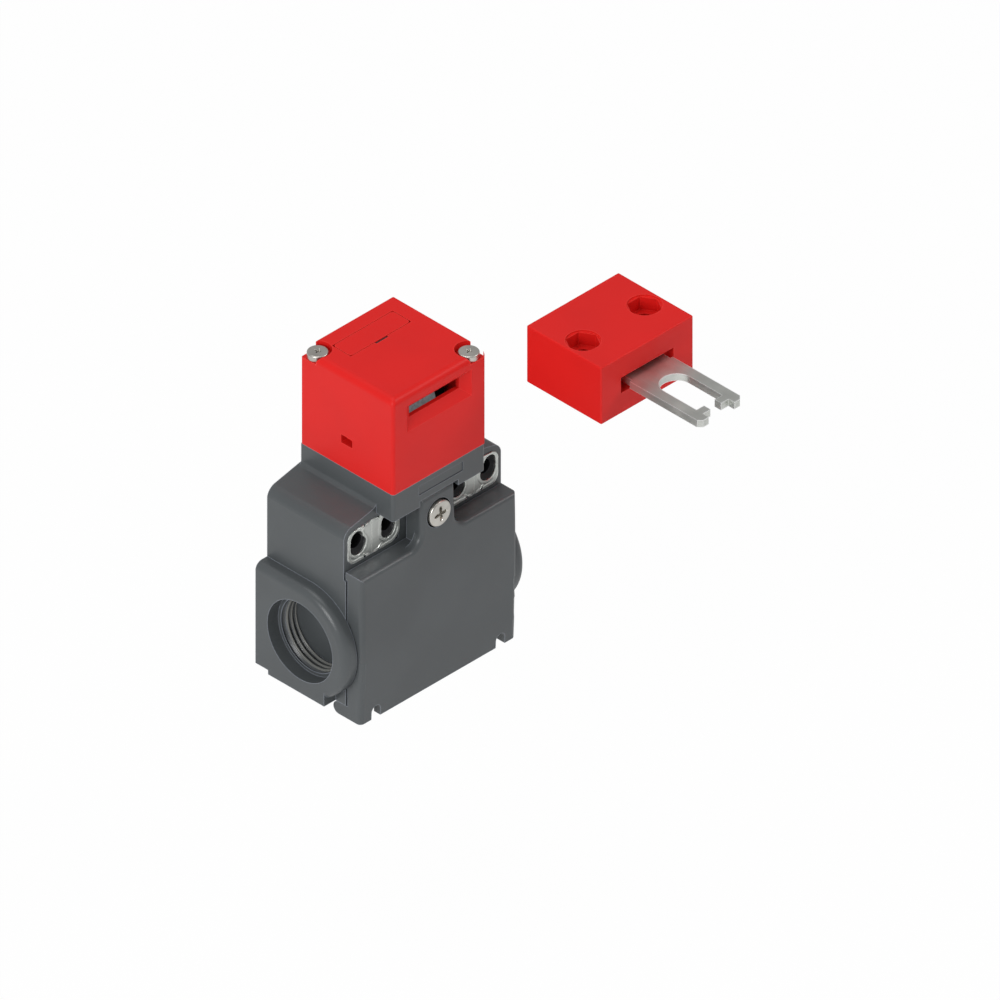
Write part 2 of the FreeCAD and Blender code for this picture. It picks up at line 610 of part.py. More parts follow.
def plate_outline(side, grow):
    """Outline of a fixing plate, or of its seat when grown a little."""
    drop = "plate_high - plate_drop"
    points = [
        (f"plate_inner - {grow}", f"plate_low - {grow}"),
        (f"plate_outer - plate_corner + {grow}", f"plate_low - {grow}", "plate_corner"),
        (f"plate_outer + {grow}", f"plate_low + plate_corner - {grow}"),
        (f"plate_outer + {grow}", f"{drop} - plate_corner + {grow}", "plate_corner"),
        (f"plate_outer - plate_corner + {grow}", f"{drop} + {grow}"),
        (f"plate_inner - {grow}", f"plate_high + {grow}"),
    ]
    return [(f"{side} * ({p[0]})", p[1]) + tuple(f"{side} * ({r})" for r in p[2:]) for p in points]


for side, word in ((-1, "left"), (1, "right")):
    cut(housing, f"plate_seat_{word}", "XZ", "recess_plane", "plate_face + plate_thick",
        plate_outline(side, "fit"))
round_edges(housing, "neck_rounding_edges", "neck_rounding",
            lambda e: at(e, x=number("neck_half"), y=-number("neck_half"))
            or at(e, x=-number("neck_half"), y=-number("neck_half")))

round_edges(housing, "foot_hollow", "foot_fillet",
            lambda e: e.BoundBox.YLength > number("neck_half")
            and (at(e, x=number("neck_half"), z=number("neck_foot"))
                 or at(e, x=-number("neck_half"), z=number("neck_foot"))))

# Fixing plates: bright metal, let into the front, with wider openings over the fixing holes.
for side, word in ((-1, "left"), (1, "right")):
    plate = new_body(f"fixing_plate_{word}")
    back = "plate_face + plate_thick"
    pad(plate, "plate", "XZ", "plate_face", back, plate_outline(side, "0"))
    for place_name in ("fixing_outer", "plate_inner_place"):
        for height in ("plate_slot_low", "plate_slot_high"):
            cut(plate, "opening", "XZ", "plate_face", back,
                (f"{side} * {place_name}", height, "plate_slot_half"))
    left, right = span(side, "nick_place - nick_half", "nick_place + nick_half")
    cut(plate, "lower_nick", "XZ", "plate_face", back,
        rect(left, right, "plate_low", "plate_low + nick_deep"))
    cut(plate, "upper_nick", "XZ", "plate_face", back,
        rect(left, right, "plate_high - 1.4 * nick_deep", "plate_high"))
    left, right = span(side, "nick_place - nick_half * 2.2", "nick_place + nick_half * 2.2")
    cut(plate, "middle_step", "XZ", "plate_face", "plate_face + label_depth",
        rect(left, right, "plate_low", "plate_high"))

# Brass insert for the cover screw.
insert = new_body("cover_screw_insert")
pad(insert, "bush", "XZ", "recess_plane", "insert_end",
    ("0", "screw_height", "insert_radius"), ("0", "screw_height", "insert_bore"))

# Cover: crowned front wall with a tab, side walls, sealing webs and hinge lugs.
cover = new_body("cover")
crown = "((tab_top / 2) ^ 2 + cover_crown ^ 2) / (2 * cover_crown)"
pad(cover, "front_wall", "YZ", "-cover_half", "cover_half", [
    ("cover_front", "0"),
    ("cover_inside", "0"),
    ("cover_inside", "tab_top"),
    ("cover_front", "tab_top", crown),
])
pad(cover, "tab_core", "XZ", "cover_inside", "cover_ledge_back",
    rect("-tab_half", "tab_half", "cover_shoulder - cover_wall", "tab_top"))
pad(cover, "upper_web", "XZ", "cover_inside", "cover_ledge_back",
    rect("-cover_half", "cover_half", "rim_top + play", "cover_shoulder"))
pad(cover, "upper_web_seal_land", "XZ", "cover_inside", "cover_back",
    rect("-cover_half", "cover_half", "upper_web_low", "rim_top + play"))
pad(cover, "lower_web", "XZ", "cover_inside", "cover_back",
    rect("-cover_half", "cover_half", "lower_web_low", "lower_web_high"))
for side, word in ((-1, "left"), (1, "right")):
    left, right = span(side, "cover_half - cover_wall", "cover_half")
    pad(cover, f"side_wall_{word}", "XZ", "cover_inside", "cover_back",
        rect(left, right, "hinge_height", "upper_web_low"))
    low, high = span(side, "lug_inner", "cover_half")
    pad(cover, f"lug_{word}", "YZ", low, high,
        rect("cover_inside", "hinge_place", "0", "2 * hinge_height"))
    pad(cover, f"lug_nose_{word}", "YZ", low, high, ("hinge_place", "hinge_height", "hinge_height"))
for side, word in ((-1, "left"), (1, "right")):
    corners = [
        (f"{side} * (cover_half + 1)", "cover_shoulder"),
        (f"{side} * (tab_half + tab_fillet)", "cover_shoulder", f"{-side} * tab_fillet"),
        (f"{side} * tab_half", "cover_shoulder + tab_fillet"),
        (f"{side} * tab_half", "tab_top + 1"),
        (f"{side} * (cover_half + 1)", "tab_top + 1"),
    ]
    cut(cover, f"shoulder_{word}", "XZ", "cover_front - 2", "cover_inside", corners)
    left, right = span(side, "notch_inner", "lug_inner")
    middle = "(lug_inner - notch_inner) / 2"
    cut(cover, f"notch_{word}", "XZ", "cover_front - 2", "cover_inside",
        rect(left, right, "-1", f"notch_height - {middle}"))
    cut(cover, f"notch_round_{word}", "XZ", "cover_front - 2", "cover_inside",
        (f"{side} * (notch_inner + {middle})", f"notch_height - {middle}", middle))
    low, high = span(side, "lug_inner", "lug_inner + stub_length")
    cut(cover, f"stub_bore_{word}", "YZ", low, high, ("hinge_place", "hinge_height", "stub_radius + slip"))
cut(cover, "screw_sink", "XZ", "cover_front - 2", "screw_sink_floor",
    ("0", "screw_height", "screw_sink_radius"))
cut(cover, "screw_hole", "XZ", "screw_sink_floor", "cover_ledge_back",
    ("0", "screw_height", "screw_shank + play"))
cut(cover, "seal_groove", "XZ", "cover_back - seal_deep", "cover_back",
    rect("-seal_outer - fit", "seal_outer + fit", "seal_low - fit", "seal_high + fit"),
    rect("-seal_inner + fit", "seal_inner - fit", "seal_low + seal_width + fit",
         "seal_high - seal_width - fit"))
front_limit = number("cover_front + slip")
notch_limit = number("notch_height + fit")
tab_limit = number("tab_half - slip")
round_edges(cover, "front_edges", "cover_rounding",
            lambda e: e.BoundBox.YMax < front_limit and e.BoundBox.ZMin > notch_limit
            and (e.BoundBox.XMax < -tab_limit or e.BoundBox.XMin > tab_limit
                 or at(e, z=number("tab_top")))
            or (at(e, x=number("cover_half")) or at(e, x=-number("cover_half")))
            and e.BoundBox.YMax < front_limit and e.BoundBox.ZLength > number("cover_shoulder / 2"))

# Cover seal: a rubber frame let into the cover's rim.
seal = new_body("cover_gasket")
pad(seal, "frame", "XZ", "cover_back - seal_deep", "cover_back",
    rect("-seal_outer", "seal_outer", "seal_low", "seal_high"),
    rect("-seal_inner", "seal_inner", "seal_low + seal_width", "seal_high - seal_width"))

# Captive cover screw with a cross recess.
screw = new_body("cover_screw")
pad(screw, "knob", "XZ", "screw_face", "screw_sink_floor - play",
    ("0", "screw_height", "screw_head_radius"))
round_edges(screw, "head_rounding_edge", "cover_crown", lambda e: at(e, y=number("screw_face")))
pad(screw, "shank", "XZ", "screw_sink_floor - play", "screw_end", ("0", "screw_height", "screw_shank"))
cut(screw, "cross", "XZ", "screw_face", "screw_face + cross_deep",
    cross("0", "screw_height", "cross_long", "cross_slim"))

# Head: red cap on the neck with two tongue slots, the top one closed by a cap.
head = new_body("head")
pad(head, "block", "XY", "neck_top", "head_top", rect("-neck_half", "neck_half", "-neck_half", "neck_half"))
side_x = number("neck_half")
top_z = number("head_top")
tall = number("head_high / 2")
round_edges(head, "upright_near", "neck_rounding",
            lambda e: e.BoundBox.ZLength > tall and at(e, x=-side_x, y=-side_x))
round_edges(head, "top_near", "head_rounding",
            lambda e: at(e, z=top_z) and (at(e, x=-side_x) or at(e, y=-side_x)))
round_edges(head, "upright_far", "head_back_rounding",
            lambda e: e.BoundBox.ZLength > tall and (at(e, x=side_x, y=side_x) or at(e, x=side_x, y=-side_x)
                                         or at(e, x=-side_x, y=side_x)))
cut(head, "cavity", "XY", "neck_top", "cavity_top",
    rect("-cavity_half", "cavity_half", "cavity_front", "cavity_back"))
cut(head, "tongue_slot", "XZ", "funnel_floor - play", "cavity_front",
    rect("-slot_half", "slot_half", "slot_low", "slot_high"))
funnel_outer = draw(head, "funnel_outer", "XZ", "neck_half",
                    [rect("-funnel_half", "funnel_half", "funnel_low", "funnel_high")])
funnel_inner = draw(head, "funnel_inner", "XZ", "-(funnel_floor)",
                    [rect("-slot_half", "slot_half", "slot_low", "slot_high")])
funnel = head.newObject("PartDesign::SubtractiveLoft", "funnel")
funnel.Profile = funnel_outer
funnel.Sections = [funnel_inner]
funnel.Ruled = True
cut(head, "side_window", "YZ", "-neck_half", "window_deep - neck_half",
    rect("window_front", "window_back", "window_low", "window_high"))
cut(head, "side_window_inner", "YZ", "-neck_half", "2 * window_deep - neck_half",
    rect("window_front + window_step", "window_back - window_step", "window_low + window_step",
         "window_high"))
cut(head, "cap_seat", "XY", "cap_floor", "head_top", rect("cap_left", "cap_right", "cap_front", "cap_back"))
cut(head, "top_slot", "XY", "cavity_top", "cap_floor",
    rect("cap_left + cap_stub_inset", "cap_right - cap_stub_inset", "cap_front + cap_stub_inset",
         "cap_back - cap_stub_inset"))
cut(head, "pry_slit", "XY", "head_top - slit_deep", "head_top",
    rect("slit_left", "slit_right", "cap_front - slit_wide", "cap_front"))
cut(head, "axle_holes", "YZ", "-axle_half", "axle_half", ("cam_place", "cam_height", "axle_radius + fit"))
for side, word in ((-1, "left"), (1, "right")):
    x = f"{side} * corner_screw"
    y = f"{-side} * corner_screw"
    left, right = span(side, "corner_screw", "neck_half + 1")
    front, back = span(-side, "corner_screw", "neck_half + 1")
    cut(head, f"corner_round_{word}", "XY", "corner_ledge", "head_top", (x, y, "corner_notch"))
    if side < 0:
        cut(head, f"corner_open_{word}", "XY", "corner_ledge", "head_top", rect(left, right, front, back))
    cut(head, f"screw_hole_{word}", "XY", "neck_top", "corner_ledge", (x, y, "pan_shank + slip"))
    pan = new_body(f"head_screw_{word}", x, y)
    pad(pan, "pan", "XY", "corner_ledge", "pan_top", ("0", "0", "pan_radius"))
    round_edges(pan, "pan_rounding", "cover_crown", lambda e: at(e, z=number("pan_top")))
    pad(pan, "shank", "XY", "pan_end", "corner_ledge", ("0", "0", "pan_shank"))
    cut(pan, "cross", "XY", "pan_top - pan_cross_deep", "pan_top",
        cross("0", "0", "pan_cross", "cross_slim"))

# Cap that closes the unused top slot.
cap = new_body("top_slot_cap")
cap_box = ("cap_left + cap_gap", "cap_right - cap_gap", "cap_front + cap_gap", "cap_back - cap_gap")
pad(cap, "plate", "XY", "cap_floor", "head_top", rect(*cap_box))
round_edges(cap, "cap_corners", "neck_rounding",
            lambda e: e.BoundBox.ZLength > number("cap_thick / 2"))
inset = "(cap_stub_inset + cap_gap)"
pad(cap, "stub", "XY", "cavity_top", "cap_floor",
    rect(f"cap_left + {inset}", f"cap_right - {inset}", f"cap_front + {inset}", f"cap_back - {inset}"))

# Seal between neck and head, and the wiper seal round the plunger.
ring = new_body("head_seal")
pad(ring, "ring", "XY", "neck_top - ring_deep", "neck_top",
    ("0", "cam_place", "ring_outer"), ("0", "cam_place", "ring_inner"))
wiper = new_body("plunger_seal")
pad(wiper, "ring", "XY", "plunger_seal_low", "plunger_seal_high",
    ("0", "cam_place", "plunger_seal_radius"), ("0", "cam_place", "plunger_radius + 1.6 * slip"))


def polar(radius, angle):
    """Point at a radius, the angle counted from straight down towards the back."""
    return f"({radius}) * sin({angle})", f"-({radius}) * cos({angle})"


def sector(outer, inner, start, end):
    """A ring sector drawn with two short arcs on either side."""
    half = (start + end) / 2
    return [
        polar(outer, start) + (outer,),
        polar(outer, half) + (outer,),
        polar(outer, end),
        polar(inner, end) + (f"-({inner})",),
        polar(inner, half) + (f"-({inner})",),
        polar(inner, start),
    ]


# Cam drum: its track is a spiral that lowers or frees the plunger in step with the turn.
drum = new_body("cam_drum", "0", "cam_place", "cam_height")
track = [polar("cam_radius", -20) + ("cam_radius",)]
for angle in range(0, 76, 5):
    track.append(polar(f"cam_radius - cam_lift * {angle} / cam_swing", angle))
track.append(polar("cam_hub", 82) + ("cam_hub",))
track.append(polar("cam_hub", 205) + ("cam_hub",))
track.append(polar("cam_hub", 332))
pad(drum, "track", "YZ", "-cam_track", "cam_track", track)
pad(drum, "drum", "YZ", "cam_track", "cam_half", ("0", "0", "cam_radius"))
pad(drum, "tooth", "YZ", "cam_split", "cam_track", sector("cam_radius", "cam_hub - 1", 100, 262))
cut(drum, "bore", "YZ", "-cam_track", "cam_half", ("0", "0", "axle_radius + slip"))

# Steel wheel beside it, with the notch that the tongue pushes.
wheel = new_body("cam_wheel", "0", "cam_place", "cam_height")
pad(wheel, "disc", "YZ", "-cam_half", "-cam_track", ("0", "0", "cam_radius"))
pad(wheel, "tooth", "YZ", "-cam_track", "-cam_split", sector("cam_radius", "cam_hub + slip", 100, 262))
cut(wheel, "bore", "YZ", "-cam_half", "-cam_track", ("0", "0", "axle_radius + slip"))
cut(wheel, "notch", "YZ", "bite_left", "bite_right",
    rect("-cam_radius - 1", "bite_face", "bite_floor", "cam_radius + 1"))

# Axle of the cam, pressed into the head.
axle = keep(rod("x", "-axle_half", "0", "0", "axle_radius", "2 * axle_half"), "cam_axle",
            "-axle_half", "cam_place", "cam_height")

# Plunger with a rounded nose under the cam track.
plunger = new_body("plunger", "0", "cam_place")
nose_top = "cam_height - cam_radius - plunger_gap"
pad(plunger, "rod", "XY", "carrier_high", f"{nose_top} - nose_neck", ("0", "0", "plunger_radius"))
pad(plunger, "nose", "YZ", "-nose_half", "nose_half",
    rect("-nose_radius", "nose_radius", f"{nose_top} - nose_neck - 1", f"{nose_top} - nose_radius"))
pad(plunger, "nose_round", "YZ", "-nose_half", "nose_half",
    ("0", f"{nose_top} - nose_radius", "nose_radius"))

# Contact carrier hanging on the plunger, with a window for each bridge.
carrier = new_body("contact_carrier", "0", "cam_place")
pad(carrier, "slide", "XY", "carrier_low", "carrier_high",
    rect("-carrier_half", "carrier_half", "-carrier_deep", "carrier_deep"))
levels = ["bridge_first", "bridge_first + bridge_step"]
for level in levels:
    cut(carrier, "window", "XZ", "-bridge_deep", "bridge_deep",
        rect("-carrier_half - 1", "carrier_half + 1", level, f"{level} + bridge_thick"))

# Contact bridges with silver tips.
pieces = []
for level in levels:
    pieces.append(box(("-bridge_half", "bridge_half"), ("-bridge_deep", "bridge_deep"),
                      (level, f"{level} + bridge_thick")))
    for side in (-1, 1):
        pieces.append(rod("z", f"{side} * tip_place", "0", f"{level} + bridge_thick",
                          "tip_radius", "tip_thick"))
keep(joined(pieces), "contact_bridges", "0", "cam_place")

# Fixed contacts above the bridges, each with a bent tab at the front for its terminal.
rise = "bridge_thick + 2 * tip_thick + cam_lift + play"
front_tab = "block_front - cam_place"


def strips(side, level):
    """The boxes of one fixed contact, named from the plunger's axis."""
    low = f"{level} + {rise}"
    high = f"{low} + strip_thick"
    inner, outer = span(side, "strip_inner", "strip_outer")
    arm, arm_end = span(side, "terminal_place - terminal_half + slip", "strip_outer")
    tab, tab_end = span(side, "terminal_place - terminal_half", "terminal_place + terminal_half")
    middle = f"{low} + strip_thick / 2"
    return [
        ((inner, outer), ("-strip_deep", "strip_deep"), (low, high)),
        ((arm, arm_end), (front_tab, "-strip_deep"), (low, high)),
        ((tab, tab_end), (f"{front_tab} - terminal_thick", front_tab),
         (f"{middle} - terminal_half", f"{middle} + terminal_half")),
    ]


solids = []
holes = []
clamps = []
clamp_holes = []
screws = []
slots = []
for level in levels:
    middle = f"{level} + {rise} + strip_thick / 2"
    for side in (-1, 1):
        solids.extend(box(*part) for part in strips(side, level))
        x = f"{side} * terminal_place"
        tip = f"{level} + {rise} - tip_thick"
        solids.append(rod("z", f"{side} * tip_place", "0", tip, "tip_radius", "tip_thick"))
        holes.append(rod("y", x, f"{front_tab} - 2 * terminal_thick", middle, "terminal_screw + fit",
                         "2 * terminal_thick"))
        left, right = span(side, "terminal_place - terminal_half", "terminal_place + terminal_half")
        near = f"{front_tab} - 2 * terminal_thick - wire_gap"
        clamps.append(box((left, right), (near, f"{near} + terminal_thick"),
                          (f"{middle} - terminal_half", f"{middle} + terminal_half")))
        clamp_holes.append(rod("y", x, near, middle, "terminal_screw + fit", "2 * terminal_thick"))
        screws.append(rod("y", x, f"{near} - 2 * terminal_thick", middle, "terminal_head",
                          "2 * terminal_thick"))
        screws.append(rod("y", x, near, middle, "terminal_screw", "2 * terminal_thick + wire_gap"))
        slots.append(box((f"{x} - terminal_head", f"{x} + terminal_head"),
                         (f"{near} - 2 * terminal_thick", f"{near} - 1.2 * terminal_thick"),
                         (f"{middle} - cross_slim", f"{middle} + cross_slim")))
keep(carved(joined(solids), holes), "fixed_contacts", "0", "cam_place")
keep(carved(joined(clamps), clamp_holes), "terminal_clamps", "0", "cam_place")
keep(carved(joined(screws), slots), "terminal_screws", "0", "cam_place")

# Contact block: insulating body with a carrier channel and a cross channel for the bridges.
block_solid = box(("-block_half", "block_half"), (front_tab, "chamber_back - cam_place"),
                  ("block_low", "block_high"))
tools = [
    box(("-carrier_half - play", "carrier_half + play"),
        ("-carrier_deep - play", "carrier_deep + play"), ("channel_floor", "block_high + 1")),
    box(("-cross_channel_half", "cross_channel_half"),
        ("-cross_channel_deep", "cross_channel_deep"), ("cross_channel_low", "cross_channel_high")),
]
for level in levels:
    for side in (-1, 1):
        tools.extend(box(*part) for part in strips(side, level)[:2])
for side in (-1, 1):
    tools.append(rod("y", f"{side} * terminal_place", f"{front_tab} - 1", "block_screw_height",
                     "block_screw + fit", "chamber_back - block_front + 2"))
keep(carved(block_solid, tools), "contact_block", "0", "cam_place")

# Screws that hold the contact block to the back wall.
screws = []
slots = []
for side in (-1, 1):
    x = f"{side} * terminal_place"
    screws.append(rod("y", x, "block_front - 2 * terminal_thick", "block_screw_height",
                      "block_screw_head", "2 * terminal_thick"))
    screws.append(rod("y", x, "block_front", "block_screw_height", "block_screw",
                      "block_screw_end - block_front"))
    slots.append(box((f"{x} - block_screw_head", f"{x} + block_screw_head"),
                     ("block_front - 2 * terminal_thick", "block_front - 1.2 * terminal_thick"),
                     ("block_screw_height - cross_slim", "block_screw_height + cross_slim")))
keep(carved(joined(screws), slots), "block_screws")

# Return spring under the carrier, its turns drawn as closed rings that share one stack height.
rings = []
for turn in range(3):
    ring_turn = doc.addObject("Part::Torus", "turn")
    ring_turn.setExpression("Radius1", sized("spring_radius"))
    ring_turn.setExpression("Radius2", sized("spring_wire"))
    ring_turn.setExpression("Placement.Base.z", sized(
        f"spring_wire + slip + {turn} * (carrier_low - channel_floor - 2 * spring_wire - 2 * slip) / 2"))
    rings.append(ring_turn)
keep(joined(rings), "return_spring", "0", "cam_place", "channel_floor")

# Actuator block: red block with two hexagon pockets, a through hole in each, and a tongue window.
key = new_body("actuator_block", "key_left + key_wide / 2", "key_front", "key_low")
pad(key, "block", "XY", "0", "key_high", rect("-key_wide / 2", "key_wide / 2", "0", "key_deep"))
round_edges(key, "block_edges", "key_rounding", lambda e: True)
for number_of, word in ((0, "left"), (1, "right")):
    x = f"nut_first - key_wide / 2 + {number_of} * nut_pitch"
    cut(key, f"rim_{word}", "XY", "key_high - nut_rim_deep", "key_high", (x, "nut_back", "nut_rim"))
    corner = "nut_flat / cos(30)"
    hexagon = [(f"{x} + {corner} * cos({60 * k})", f"nut_back + {corner} * sin({60 * k})") for k in range(6)]
    cut(key, f"hexagon_{word}", "XY", "key_high - nut_deep", "key_high", hexagon)
    cut(key, f"hole_{word}", "XY", "0", "key_high", (x, "nut_back", "key_hole"))
cut(key, "window", "XZ", "0", "key_window_deep",
    rect("-key_window_half", "key_window_half", "key_window_low", "key_window_high"))
cut(key, "tongue_chamber", "XZ", "key_window_deep", "key_cavity_deep",
    rect("-key_cavity_half", "key_cavity_half", "key_cavity_low", "key_cavity_high"))
cut(key, "pin_hole", "YZ", "-pin_half", "pin_half", ("pivot_back", "tongue_middle", "pivot_pin + fit"))

# Tongue: a forked steel plate with inward nubs, pivoted inside the block.
tongue = new_body("actuator_tongue", "key_left + key_wide / 2", "key_front", "key_low")
low = "tongue_middle - tongue_thick / 2"
high = "tongue_middle + tongue_thick / 2"
right_half = [
    ("tongue_root_half", "tongue_inside"),
    ("tongue_root_half", "-tongue_step"),
    ("tongue_half", "-tongue_step"),
    ("tongue_half", "tongue_corner - tongue_length"),
    ("tongue_half - tongue_corner", "-tongue_length"),
    ("fork_half", "-tongue_length"),
    ("fork_half", "-nub_far"),
    ("nub_half", "-nub_far"),
    ("nub_half", "-nub_near"),
    ("fork_half", "-nub_near"),
    ("fork_half", "-fork_start"),
]
left_half = [(f"-({x})", y) for x, y in reversed(right_half)]
pad(tongue, "plate", "XY", low, high, right_half + left_half)
cut(tongue, "round_root", "XY", low, high, ("0", "-fork_start", "fork_half"))
pad(tongue, "barrel", "YZ", "-tongue_root_half", "tongue_root_half",
    ("pivot_back", "tongue_middle", "pivot_barrel"))
cut(tongue, "barrel_bore", "YZ", "-tongue_root_half", "tongue_root_half",
    ("pivot_back", "tongue_middle", "pivot_pin + slip"))

# Pin of the tongue, and the rubber pads that centre it.
pin = keep(rod("x", "0", "0", "0", "pivot_pin", "2 * pin_half"), "tongue_pin",
           "key_left + key_wide / 2 - pin_half", "key_front + pivot_back", "key_low + tongue_middle")
pads = [
    box(("-pad_half", "pad_half"), ("pad_near", "pad_far"), (f"{high} + pad_gap", "key_cavity_high")),
    box(("-pad_half", "pad_half"), ("pad_near", "pad_far"), ("key_cavity_low", f"{low} - pad_gap")),
]
keep(joined(pads), "tongue_pads", "key_left + key_wide / 2", "key_front", "key_low")

doc.recompute()

for thing in doc.Objects:
    faults = [word for word in thing.State if word in ("Invalid", "Error")]
    assert not faults, f"{thing.Label}: {thing.State}"
for node in nodes:
    assert not node.Shape.isNull(), node.Label
    assert node.Shape.isValid(), node.Label
for thing in doc.Objects:
    if thing.TypeId in ("PartDesign::Pocket", "PartDesign::Groove", "PartDesign::SubtractiveLoft"):
        before = thing.BaseFeature.Shape.Volume
        assert thing.Shape.Volume < before - 0.001, f"{thing.Label} takes nothing away"
for node in nodes:
    node.Shape.exportStep(f"parts/{node.Label}.step")
    print(f"{node.Label}: {len(node.Shape.Solids)} solid, {node.Shape.Volume:.0f} cubic mm")
print(f"{len(nodes)} pieces")
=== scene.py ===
import json
import math

import bmesh
import bpy
import numpy as np
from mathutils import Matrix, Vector


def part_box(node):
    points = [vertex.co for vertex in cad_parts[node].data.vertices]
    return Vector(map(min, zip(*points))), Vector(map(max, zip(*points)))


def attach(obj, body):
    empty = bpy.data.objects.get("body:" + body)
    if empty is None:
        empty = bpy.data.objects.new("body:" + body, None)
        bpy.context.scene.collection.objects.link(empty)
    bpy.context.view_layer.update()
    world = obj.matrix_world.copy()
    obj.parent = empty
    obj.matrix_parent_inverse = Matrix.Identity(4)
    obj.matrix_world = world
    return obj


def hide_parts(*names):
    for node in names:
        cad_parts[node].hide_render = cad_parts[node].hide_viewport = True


# Tongue interlock switch, dressed in its plastics and metals.
# Metres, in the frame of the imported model: X to the right, Y to the back, Z up.

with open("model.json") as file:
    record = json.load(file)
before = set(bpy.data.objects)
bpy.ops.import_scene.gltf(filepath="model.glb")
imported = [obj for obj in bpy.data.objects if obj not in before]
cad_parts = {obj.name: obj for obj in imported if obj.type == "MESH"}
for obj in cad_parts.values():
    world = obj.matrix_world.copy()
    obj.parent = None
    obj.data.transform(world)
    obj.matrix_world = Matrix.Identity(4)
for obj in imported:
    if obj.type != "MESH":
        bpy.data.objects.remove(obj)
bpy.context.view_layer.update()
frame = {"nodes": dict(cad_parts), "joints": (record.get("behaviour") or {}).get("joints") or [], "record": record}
parts = frame["nodes"]
MM = 0.001
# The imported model's origin lies on the mounting plane, between the fixing holes. Sizes below are in
# millimetres from the head's middle and the cover's bottom, as in the CAD source.
ROW_ORIGIN = np.array([0, 15.5, 47.2])


def placed(points):
    """Points in millimetres from the head's middle and the cover's bottom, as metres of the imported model."""
    return (np.asarray(points) - ROW_ORIGIN) * MM


def source_place(points):
    """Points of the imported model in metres, as millimetres from the head's middle and the cover's bottom."""
    return np.asarray(points) / MM + ROW_ORIGIN


def box_of(node):
    """Lowest and highest corner of a CAD node, in the same millimetres."""
    return source_place(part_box(node))


MOUNTS = {mount["name"]: mount for mount in frame["record"]["mounts"]}
JOINTS = {joint["name"]: joint for joint in frame["joints"]}

# Shader maths


class Value:
    """A shader socket that plain arithmetic works on."""

    def __init__(self, finish, socket):
        self.finish = finish
        self.socket = socket

    def _math(self, operation, *terms):
        """A maths node over the terms, which are sockets or plain numbers."""
        inputs = {place: term for place, term in enumerate(terms)}
        return self.finish.node("ShaderNodeMath", {"operation": operation}, inputs)

    def __add__(self, other):
        return self._math("ADD", self, other)

    def __radd__(self, other):
        return self._math("ADD", other, self)

    def __sub__(self, other):
        return self._math("SUBTRACT", self, other)

    def __rsub__(self, other):
        return self._math("SUBTRACT", other, self)

    def __mul__(self, other):
        return self._math("MULTIPLY", self, other)

    def __rmul__(self, other):
        return self._math("MULTIPLY", other, self)

    def clamp(self):
        """Held to 0 and 1."""
        return self.finish.node("ShaderNodeClamp", {}, {"Value": self})

    def step(self, start, end):
        """Runs smoothly from 0 at start to 1 at end."""
        return self.finish.node(
            "ShaderNodeMapRange",
            {"interpolation_type": "SMOOTHSTEP"},
            {"Value": self, "From Min": start, "From Max": end},
        )


class Finish:
    """One material and the nodes in it."""

    def __init__(self, name):
        self.material = bpy.data.materials.new(name)
        self.material.use_nodes = True
        self.tree = self.material.node_tree
        self.tree.nodes.clear()
        self.out = self.tree.nodes.new("ShaderNodeOutputMaterial")
        self.place = self.node("ShaderNodeTexCoord", {}, {}, "Object")

    def node(self, kind, settings, inputs, output=0):
        """A node of a kind, with its settings first and then the values or links of its sockets."""
        made = self.tree.nodes.new(kind)
        for name, setting in settings.items():
            setattr(made, name, setting)
        for name, value in inputs.items():
            if isinstance(value, Value):
                self.tree.links.new(value.socket, made.inputs[name])
            else:
                made.inputs[name].default_value = value
        return Value(self, made.outputs[output])

    def noise(self, scale, detail=3.0, rough=0.5, stretch=None):
        """Cloudy noise of about one feature in 1/scale metres, drawn out along an axis by stretch."""
        place = self.place
        if stretch:
            place = self.node("ShaderNodeMapping", {}, {"Vector": place, "Scale": stretch})
        sockets = {"Vector": place, "Scale": scale, "Detail": detail, "Roughness": rough}
        return self.node("ShaderNodeTexNoise", {}, sockets, "Fac")

    def mix(self, share, low, high):
        """Colour between low and high by share."""
        return self.node(
            "ShaderNodeMix",
            {"data_type": "RGBA", "clamp_factor": True},
            {0: share, 6: low, 7: high},
            2,
        )

    def bump(self, height, depth, strength=1.0):
        """Normal for a height that runs over 0 to 1 and stands depth metres."""
        return self.node(
            "ShaderNodeBump", {}, {"Height": height, "Distance": depth, "Strength": strength}, "Normal"
        )

    def edge(self, radius):
        """1 on outer and inner edges, 0 on open faces: how far a rounded normal leaves the plain one."""
        rounded = self.node("ShaderNodeBevel", {"samples": 6}, {"Radius": radius}, "Normal")
        flat = self.node("ShaderNodeNewGeometry", {}, {}, "Normal")
        same = self.node("ShaderNodeVectorMath", {"operation": "DOT_PRODUCT"}, {0: rounded, 1: flat}, "Value")
        return (1.0 - same).step(0.02, 0.12)

    def field_shade_line(self, left, right, low, high):
        """1 on a fine outline of a field on the neck's front, where painted shade goes, 0 elsewhere."""
        x, y, z = (self.node("ShaderNodeSeparateXYZ", {}, {"Vector": self.place}, axis) for axis in "XYZ")
        soft, outer, inner = 0.06 * MM, 0.04 * MM, -0.14 * MM
        neck_front, neck_inside = -30.2 * MM, -30.0 * MM
        start, end = placed((left, 0, low)), placed((right, 0, high))

        def between(axis, first, last):
            return axis.step(first, first + soft) * (1.0 - axis.step(last - soft, last))

        def inside(margin):
            wide = between(x, start[0] - margin, end[0] + margin)
            tall = between(z, start[2] - margin, end[2] + margin)
            return wide * tall

        return inside(outer) * (1.0 - inside(inner)) * (1.0 - y.step(neck_front, neck_inside))

    def close(self, **sockets):
        """Ends the material in one principled shader with these sockets."""
        names = {name.replace("_", " "): value for name, value in sockets.items()}
        shader = self.node("ShaderNodeBsdfPrincipled", {}, names, "BSDF")
        self.tree.links.new(shader.socket, self.out.inputs["Surface"])
        return self.material


